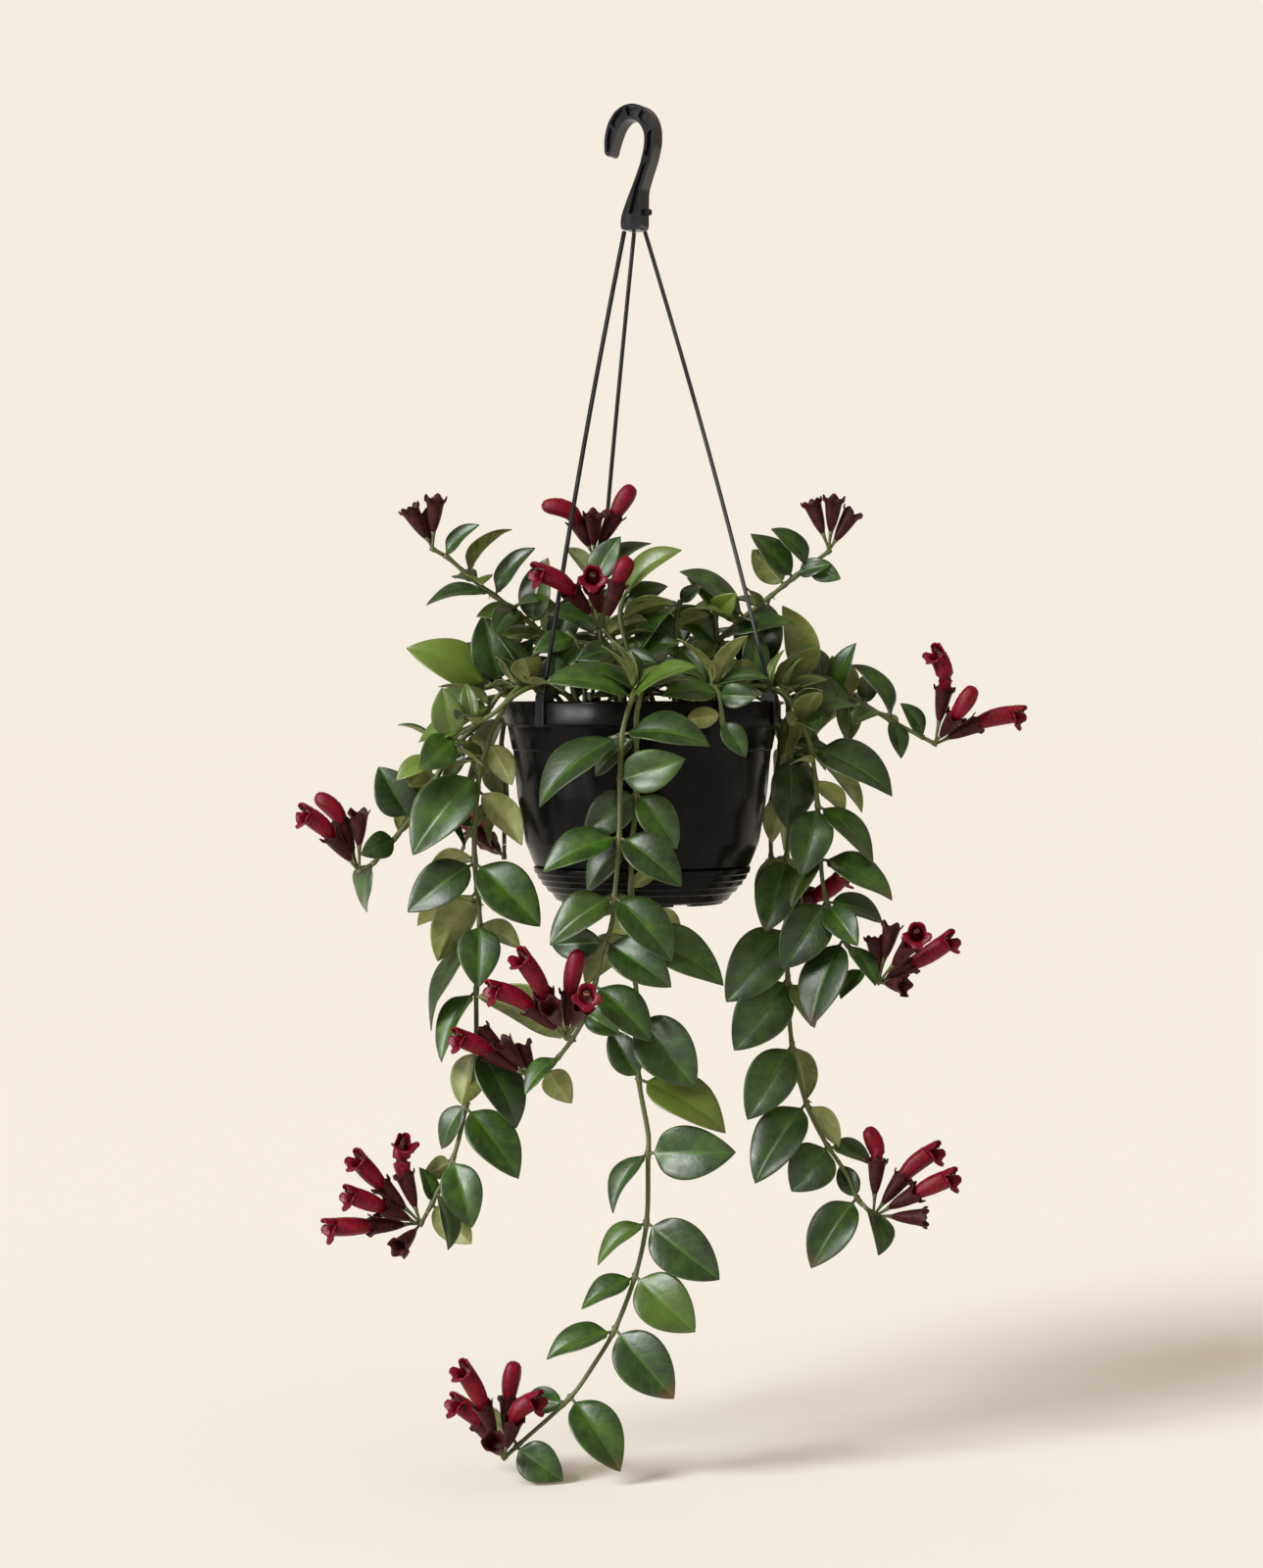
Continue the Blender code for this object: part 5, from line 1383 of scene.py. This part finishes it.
def addStem(batch, route, nodes, first, last, green, draw):
    # a slim stem that swells a little where each pair of leaves leaves it
    curve = smoothRoute(route, stem["step"])
    radii = []
    for i, point in enumerate(curve):
        near = min(((point - n).length for n in nodes), default=99)
        swell = stem["nodeSwell"] * exp(-(near / stem["nodeWidth"]) ** 2)
        radii.append(first + (last - first) * i / len(curve) + swell + 0.08 * noise.noise(point / 4))
    addTube(batch, curve, radii, stem["sides"], stalkSlot, (0.4, green, 0))
    for n in nodes:
        if draw.random() < stem["aerialRoots"]:
            way = Vector((draw.uniform(-1, 1), draw.uniform(-1, 1), draw.uniform(-0.6, 0.4))).normalized()
            root = [n + way * 0.8, n + way * 2.6, n + way * 3.8 + Vector((0, 0, -0.8))]
            addTube(batch, root, [0.5, 0.4, 0.15], 6, stalkSlot, (0.3, 0, 0))


# Small leaves fill the crown and the left side, and stand clear of all the rest
smallLeaves = {
    "pitch": 8.5,
    "tries": 26,
    "thick": -325.0,       # the crown is denser below this
    "length": (24.0, 40.0),
    "width": (0.44, 0.54),
    "nodeClear": 5.0,      # how far they grow from the larger leaves
    "rimHalf": 88.0,       # the front of the rim stays in sight
    "rimClear": -350.0,
    "rings": ((0.12, 0.1), (0.35, 1.05), (0.68, 0.85)),    # place and width of a rough blade's rings
    "roughThick": 1.0,
    "lowest": {"stem_left": -440.0, "stem_far_left": -430.0, "shoot_left_low": -400.0,
               "stem_right_mid": -400.0, "stem_right_trailing": -400.0},
    "lowestElsewhere": -372.0,
}
solids = {}      # the frame's nodes, and each small leaf as it is added


def roughBlade(root, tip, width, look):
    # a blade in three rings and a tip, a little larger than life
    run = tip - root
    along = run.normalized()
    look = squareTo(look, along)
    aside = along.cross(look)
    points = []
    for share, wide in smallLeaves["rings"]:
        centre = archPoint(root, run, look, share)
        points += [centre + aside * wide * width / 2 * s + look * smallLeaves["roughThick"] * t
                   for s, t in ((1, 1), (1, -1), (-1, -1), (-1, 1))]
    points.append(tip + along)
    faces = [(r * 4 + k, r * 4 + (k + 1) % 4, r * 4 + 4 + (k + 1) % 4, r * 4 + 4 + k) for r in (0, 1)
             for k in range(4)]
    faces += [(3, 2, 1, 0)] + [(8 + k, 8 + (k + 1) % 4, 12) for k in range(4)]
    return [p * mm for p in points], faces


def roomFor(points, faces):
    # the blade as a tree if it is inside the box, off the front of the rim and clear of every solid, or None
    if not all(cadBox[0][a] < p[a] < cadBox[1][a] for p in points for a in range(3)):
        return None
    half, rim = smallLeaves["rimHalf"] * mm, smallLeaves["rimClear"] * mm
    if any(p.y < 0 and abs(p.x) < half and p.z < rim for p in points):
        return None
    blade = BVHTree.FromPolygons(points, faces)
    return None if any(blade.overlap(other) for other in solids.values()) else blade


def addSmallLeaves(name, batch, routes, kept, draw):
    low = smallLeaves["lowest"].get(name, smallLeaves["lowestElsewhere"])
    added = 0
    for route in routes:
        curve = smoothRoute(route[1:], smallLeaves["pitch"])
        for i in range(1, len(curve) - 1):
            root = curve[i]
            if root.z < low or min(((root - k).length for k in kept), default=999) < smallLeaves["nodeClear"]:
                continue
            ahead = (curve[i + 1] - curve[i - 1]).normalized()
            wanted = 3 if root.z < smallLeaves["thick"] else 2
            for attempt in range(smallLeaves["tries"]):
                way = Vector((draw.uniform(-1, 1), draw.uniform(-1, 0.7), draw.uniform(-0.35, 0.7)))
                way = (way - ahead * way.dot(ahead) * 0.7).normalized()
                size = draw.uniform(*smallLeaves["length"])
                width = size * draw.uniform(*smallLeaves["width"])
                look = Vector((draw.uniform(-0.4, 0.4), draw.uniform(-0.7, 0.1), 1.0))
                tip = root + way * size
                blade = roomFor(*roughBlade(root, tip, width, look))
                if not blade:
                    continue
                solids[f"{name} small {added}"] = blade
                tone = (draw.random() * 0.6, rarely(draw, 0.2, 2), 0.0)
                addLeaf(batch, root - way * leaf["overlap"], tip, width, look, tone, draw)
                added += 1
                wanted -= 1
                if wanted == 0:
                    break
    return added


def growStem(name, routes, leaves, green):
    # leaves are (root, tip, width, face or the way its upper face looks, own tone)
    points = [vertex.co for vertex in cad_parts[name].data.vertices]
    tree = KDTree(len(points))
    for number, point in enumerate(points):
        tree.insert(point, number)
    tree.balance()
    draw = random.Random(name)
    batch = newBatch()
    kept = []
    for root, tip, width, face, own in leaves:
        look = face if isinstance(face, Vector) else None
        posture = findPosture(tree, root, tip, width, 1 if look else face, look)
        if posture is None:
            continue
        end, full, way = posture
        tone = ownTones.get(own) or (draw.random() * 0.7, rarely(draw, 0.14, 3), rarely(draw, 0.2, 5))
        along = (end - root).normalized()
        addLeaf(batch, root - along * leaf["overlap"], end, full, way, tone, draw)
        kept.append(root)
    extra = addSmallLeaves(name, batch, routes, kept, draw)
    for number, route in enumerate(routes):
        first = stem["radius"] if number == 0 else stem["tipRadius"] + 0.2
        addStem(batch, route, kept, first, stem["tipRadius"], green, draw)
    piece = batchPiece(f"{name}_leaves", batch, [leafUpper, leafUnder, bark])
    fit(piece, "foliage", name)
    return len(kept), len(leaves), extra


def readLeaf(routes, row):
    # a row of the table as (root, tip, width, face, own tone)
    across, height, endAcross, endHeight, width, nearer, *words = row
    root = leafRoot(routes, across, height)
    tip = sight(endAcross, endHeight, root.y - nearer)
    own = next((word for word in words if word in ownTones), None)
    return root, tip, width, -1 if "under" in words else 1, own


for node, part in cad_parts.items():
    solids[node] = BVHTree.FromPolygons([v.co for v in part.data.vertices],
                                        [tuple(p.vertices) for p in part.data.polygons])
necks = {}       # the last of each stem, which its bloom stands on
grown = []
for name, row in stems.items():
    route = stemFoot(row["root"]) + [sight(*point) for point in row["route"]]
    if "bloom" in row:
        route, necks[name.replace("stem", "bloom")] = shortened(route, stem["neckLength"])
    routes = [route]
    if "branch" in row:
        branch = [sight(*point) for point in row["branch"]]
        if "branchBloom" in row:
            branch, necks["bloom_front_shoot"] = shortened(branch, stem["neckLength"])
        routes.append(branch)
    leaves = [readLeaf(routes, blade) for blade in row["leaves"]]
    grown.append(growStem(name, routes, leaves, greens[name.split("_")[0]]))
for name, row in backStems.items():
    route, blades = backRow(*row)
    if name != "stem_back":
        route, necks[name.replace("stem", "bloom")] = shortened(route, stem["neckLength"])
    grown.append(growStem(name, [route], blades, greens["backStem"]))
for name, row in backShoots.items():
    route, blades = shootRow(*row)
    grown.append(growStem(name, [route], blades, greens["backShoot"]))
kept, wanted, small = (sum(counts) for counts in zip(*grown))
print(f"leaves grown {kept} of {wanted} and {small} small ones")


# Blooms

# The materials of a bloom in the order of their slots
bloomSkins = {"calyx": calyxSkin, "corolla": corollaSkin, "throat": throatSkin, "filament": filament,
              "anther": anther, "stalk": bark, "hairs": hairSkin}
bloomSlots = {part: number for number, part in enumerate(bloomSkins)}


def ringAt(centre, across, aside, radius, sides, shape):
    # a ring whose radius is multiplied by a shape at each angle
    angles = [2 * pi * k / sides for k in range(sides)]
    return [centre + (across * cos(angle) + aside * sin(angle)) * radius * shape(angle) for angle in angles]


calyx = {
    "length": 21.0,
    "wall": 0.55,
    "shape": ((0, 1.6), (0.1, 2.4), (0.3, 3.6), (0.55, 4.5), (0.8, 5.2), (0.92, 5.9), (1.0, 7.0)),
    "outside": (0, 0.04, 0.12, 0.24, 0.38, 0.54, 0.7, 0.84, 0.94, 1.0),    # places of its rings
    "inside": (1.0, 0.94, 0.8, 0.62, 0.48),
    "ribs": 0.025,
    "lobe": 3.4,
    "lobeStart": 0.8,
    "lobeBack": (0.7, 0.75),       # how far the rim between the lobes lies back, outside and inside
    "sides": 30,
    "stalk": (0.95, 0.85, 0.9, 1.1, 1.6),      # its radii from the stem to the calyx
}


def calyxRadius(share):
    # a slim tube that flares into its lobes
    places, radii = zip(*calyx["shape"])
    return float(np.interp(share, places, radii))


def calyxFoot(length):
    # where the stalk ends and the calyx starts, as a share of both
    return max(0.28, 1 - calyx["length"] / length)


def addCalyx(batch, base, mouth, draw):
    # a stalk that widens into a cup with five short rounded lobes
    axis = mouth - base
    along = axis.normalized()
    foot = calyxFoot(axis.length)
    across = along.orthogonal().normalized()
    aside = along.cross(across)
    bow = across * (draw.random() - 0.5) * 1.2
    stalk = [base + axis * foot * t + bow * sin(pi * t) for t in (0, 0.25, 0.5, 0.75, 1.0)]
    addTube(batch, stalk, calyx["stalk"], 8, bloomSlots["stalk"], (0.4, 0.4, 0))
    start = draw.random() * 6
    sides, begin = calyx["sides"], calyx["lobeStart"]
    rings = []
    for places, wall, ribs, back in ((calyx["outside"], 0, calyx["ribs"], calyx["lobeBack"][0]),
                                     (calyx["inside"], calyx["wall"], 0, calyx["lobeBack"][1])):
        for t in places:
            ring = ringAt(base + axis * (foot + (1 - foot) * t), across, aside, calyxRadius(t) - wall, sides,
                          lambda angle: 1 + ribs * cos(5 * (angle + start)))
            if t > begin:
                lobes = [0.5 + 0.5 * cos(5 * (2 * pi * k / sides + start)) - back for k in range(sides)]
                ring = [p + along * (t - begin) / (1 - begin) * calyx["lobe"] * lobe
                        for p, lobe in zip(ring, lobes)]
            rings.append(ring)
    addRings(batch, rings, bloomSlots["calyx"], plainTone)


corolla = {
    # the radius from the calyx to the throat, and the places of the rings on the bend
    "open": (2.2, 3.0, 4.0, 4.7, 5.2, 5.4, 5.4, 5.2),
    "openBend": (0.15, 0.3, 0.45, 0.6, 0.7),
    "bud": (2.1, 3.0, 4.0, 4.7, 5.2, 5.3, 5.0, 4.3, 3.1, 1.1),
    "budBend": (0.2, 0.4, 0.6, 0.75, 0.88, 0.96, 1.0),
    "sides": 24,
    "wall": 0.45,
    "petal": 1.0,
    "petalRows": (0.2, 0.4, 0.6, 0.8, 0.93, 1.0),
    "turned": 0.55,        # how far the mouths turn to the front
    "lowerLobe": {"middle": 0.0, "half": 0.63, "reach": 6.6, "flare": 0.75},
    "sideLobe": {"middle": 1.24, "half": 0.61, "reach": 6.6, "flare": 0.62},
    "hood": {"start": 1.85, "rise": 0.45, "reach": 8.0, "notch": 0.35, "notchHalf": 0.2},
    "facingLength": 12.0,  # a flower that faces the viewer is short, and its mouth more open
    "facingReach": 0.85,
    "facingFlare": 0.12,
    "hairs": 110,
    "hairLength": 0.9,
}


def addHairs(batch, rings, draw):
    # short hairs as slim spikes, which stand out against the light at the flower's edge
    length = corolla["hairLength"]
    for hair in range(corolla["hairs"]):
        r = draw.randrange(len(rings) - 1)
        k = draw.randrange(len(rings[r]))
        p = rings[r][k].lerp(rings[r + 1][k], draw.random())
        centre = sum(rings[r], Vector()) / len(rings[r])
        out = (p - centre).normalized()
        ahead = (sum(rings[r + 1], Vector()) / len(rings[r + 1]) - centre).normalized()
        side = out.cross(ahead)
        tip = p + out * length * draw.uniform(0.6, 1.2) + ahead * length * draw.uniform(-0.2, 0.7)
        base = len(batch["points"])
        batch["points"] += [p + side * 0.09, p - side * 0.09, p + ahead * 0.15, tip]
        batch["faces"] += [(base, base + 1, base + 3), (base + 1, base + 2, base + 3),
                           (base + 2, base, base + 3), (base + 1, base, base + 2)]
        batch["slots"] += [bloomSlots["hairs"]] * 4
        batch["uv"] += [(0, 0)] * 4
        batch["tone"] += [(0.8, 0, 0)] * 4


def lobeAt(angle):
    # how long the corolla's edge is at this angle, as shape and reach, and how far it bends out
    turn = angle if angle <= pi else 2 * pi - angle      # 0 is the lower lobe, pi the top of the hood
    hood = corolla["hood"]
    if turn >= hood["start"]:
        shape = cos(max(0.0, hood["start"] + hood["rise"] - turn) / hood["rise"] * pi / 2)
        shape *= 1 - hood["notch"] * exp(-((turn - pi) / hood["notchHalf"]) ** 2)
        return shape, hood["reach"], 0.0
    lobe = corolla["lowerLobe" if turn < corolla["lowerLobe"]["half"] else "sideLobe"]
    return cos((turn - lobe["middle"]) / lobe["half"] * pi / 2), lobe["reach"], lobe["flare"]


def petalRings(throat, ahead, low, side, radius, turnedToViewer):
    # beyond the throat the tube parts: a lower lobe, two side lobes, and two above that make a hood
    outside, inside = [], []
    for v in corolla["petalRows"]:
        outer, inner = [], []
        for k in range(corolla["sides"]):
            angle = 2 * pi * k / corolla["sides"]
            out = low * cos(angle) + side * sin(angle)
            shape, reach, flare = lobeAt(angle)
            if turnedToViewer:
                reach, flare = reach * corolla["facingReach"], flare + corolla["facingFlare"]
            run = reach * max(0.0, shape) ** 0.45 * v
            lean = flare * 1.25 * v ** 0.7 if flare > 0 else 0.0
            rim = throat + out * radius * (1 + 0.05 * cos(2 * angle))
            p = rim + (ahead * cos(lean) + out * sin(lean)) * run
            normal = (out * cos(lean) - ahead * sin(lean)).normalized()
            outer.append(p)
            inner.append(p - normal * corolla["petal"])
        outside.append(outer)
        inside.insert(0, inner)
    return outside, inside


def addStamens(batch, root, throat, ahead, low, side):
    # four stamens and the style lie under the hood, their dark anthers close together
    for number, lean in enumerate((-0.3, -0.12, 0.12, 0.3, 0.0)):
        foot = root - low * 2.0 + side * lean * 4
        top = throat - low * (2.6 - abs(lean)) + side * lean * 5
        reach = corolla["hood"]["reach"] * (0.55 if number < 4 else 0.8)
        tip = throat + ahead * reach - low * (1.2 + 0.3 * (number % 2)) + side * lean * 3.2
        curve = smoothRoute([foot, top, tip], 1.5)
        addTube(batch, curve, [0.32] * len(curve), 6, bloomSlots["filament"], plainTone)
        knob = [tip - ahead * 0.6, tip, tip + ahead * 0.7, tip + ahead * 1.1]
        addTube(batch, knob, [0.4, 0.75, 0.6, 0.2], 8, bloomSlots["anther"], plainTone)


def addCorolla(batch, base, mouth, kind, end, draw, turnedToViewer=False):
    # a hairy tube that leaves the calyx, bends over and opens, or stays closed as a bud
    axis = mouth - base
    along = axis.normalized()
    foot = calyxFoot(axis.length)
    inside = base + axis * (foot + 0.5 * (1 - foot))
    bend = mouth + along * (end - mouth).length * 0.45
    route = [inside, inside.lerp(mouth, 0.5), mouth]
    route += [mouth * (1 - s) ** 2 + bend * 2 * s * (1 - s) + end * s * s for s in corolla[f"{kind}Bend"]]
    down = Vector((0, 0, -1))
    radii = corolla[kind]
    rings = []
    for i, centre in enumerate(route):
        ahead = (route[min(i + 1, len(route) - 1)] - route[max(i - 1, 0)]).normalized()
        low = squareTo(down, ahead)
        # slightly taller than wide, with the seams of five petals
        rings.append(ringAt(centre, low, ahead.cross(low), radii[i], corolla["sides"],
                            lambda angle: 1 + 0.05 * cos(2 * angle) + 0.025 * cos(5 * angle)))
    if kind == "bud":
        addRings(batch, rings, bloomSlots["corolla"], plainTone)
        addHairs(batch, rings[2:], draw)
        return
    throat = route[-1]
    ahead = (end - route[-2]).normalized()
    if throat.y < 30 and not turnedToViewer:
        ahead = (ahead + (eye - throat).normalized() * corolla["turned"]).normalized()
    low = squareTo(down, ahead)
    side = ahead.cross(low)
    outer, inner = petalRings(throat, ahead, low, side, radii[-1], turnedToViewer)
    rings += outer
    outside = len(rings)
    rings += inner
    # the tube's inner wall runs back from the throat
    for i in range(len(route) - 1, len(route) - 6, -1):
        rings.append([route[i] + (p - route[i]) * (1 - corolla["wall"] / radii[i]) for p in rings[i]])
    addRings(batch, rings, lambda r: bloomSlots["corolla" if r < outside else "throat"], plainTone)
    addHairs(batch, rings[2:outside - 1], draw)
    addStamens(batch, route[-3], throat, ahead, low, side)


def growBloom(name, neck, flowers):
    # flowers are (mouth, kind, end)
    draw = random.Random(name)
    batch = newBatch()
    base = neck[-1]
    ahead = (base - neck[-2]).normalized()
    route = smoothRoute(neck[:-1] + [base - ahead * 1.2, base + ahead * 1.4], 1.5)
    radii = [stem["tipRadius"] + 0.8 * max(0.0, 1 - (point - base).length / 2.5) for point in route]
    addTube(batch, route, radii, 12, bloomSlots["stalk"], (0.4, 0.35, 0))
    for mouth, kind, end in flowers:
        addCalyx(batch, base, mouth, draw)
        start = len(batch["points"]) - 1
        if kind == "facing":
            # seen from its throat: it leans out of the calyx towards the front
            way = ((mouth - base).normalized() * 0.6 + (eye - mouth).normalized()).normalized()
            end = mouth + way * corolla["facingLength"] + Vector((0, 0, 2))
            addCorolla(batch, base, mouth, "open", end, draw, True)
        elif kind != "empty":
            addCorolla(batch, base, mouth, kind, end, draw)
        # a flower is pressed back where it would reach past the foremost plane of the solids
        most = min(p.y for p in batch["points"][start:])
        least = cadBox[0][1] / mm + 0.3
        if most < least < mouth.y:
            share = (least - mouth.y) / (most - mouth.y)
            for p in batch["points"][start:]:
                if p.y < mouth.y:
                    p.y = mouth.y + (p.y - mouth.y) * share
    piece = batchPiece(f"{name}_flowers", batch, list(bloomSkins.values()))
    fit(piece, "bloom", name)


def readFlower(base, row):
    # a row of the table as (mouth, kind, end)
    across, height, nearer, kind, *end = row
    end = sight(*end, base.y - nearer * 1.3) if end else None
    return sight(across, height, base.y - nearer), kind, end


# The blooms at the back have two flowers each: aside, rise and kind
backFlowers = {
    "blooms": ("bloom_back_left", "bloom_back_right"),
    "flowers": ((-0.9, 0.5, "open"), (0.4, 1.0, "bud")),
    "mouth": 28.0,
    "end": 50.0,
    "lift": 8.0,
}
sources = {}
for name, row in stems.items():
    if "bloom" in row:
        sources[name.replace("stem", "bloom")] = row["bloom"]
    if "branchBloom" in row:
        sources["bloom_front_shoot"] = row["branchBloom"]
for name, rows in sources.items():
    growBloom(name, necks[name], [readFlower(necks[name][-1], row) for row in rows])
for name in backFlowers["blooms"]:
    base = necks[name][-1]
    outward = Vector((base.x - potAxis, base.y, 0)).normalized()
    aside = Vector((-outward.y, outward.x, 0))
    flowers = []
    for lean, rise, kind in backFlowers["flowers"]:
        way = (outward + aside * lean + Vector((0, 0, rise))).normalized()
        end = base + way * backFlowers["end"] + Vector((0, 0, backFlowers["lift"]))
        flowers.append((base + way * backFlowers["mouth"], kind, end))
    growBloom(name, necks[name], flowers)
print("blooms made")
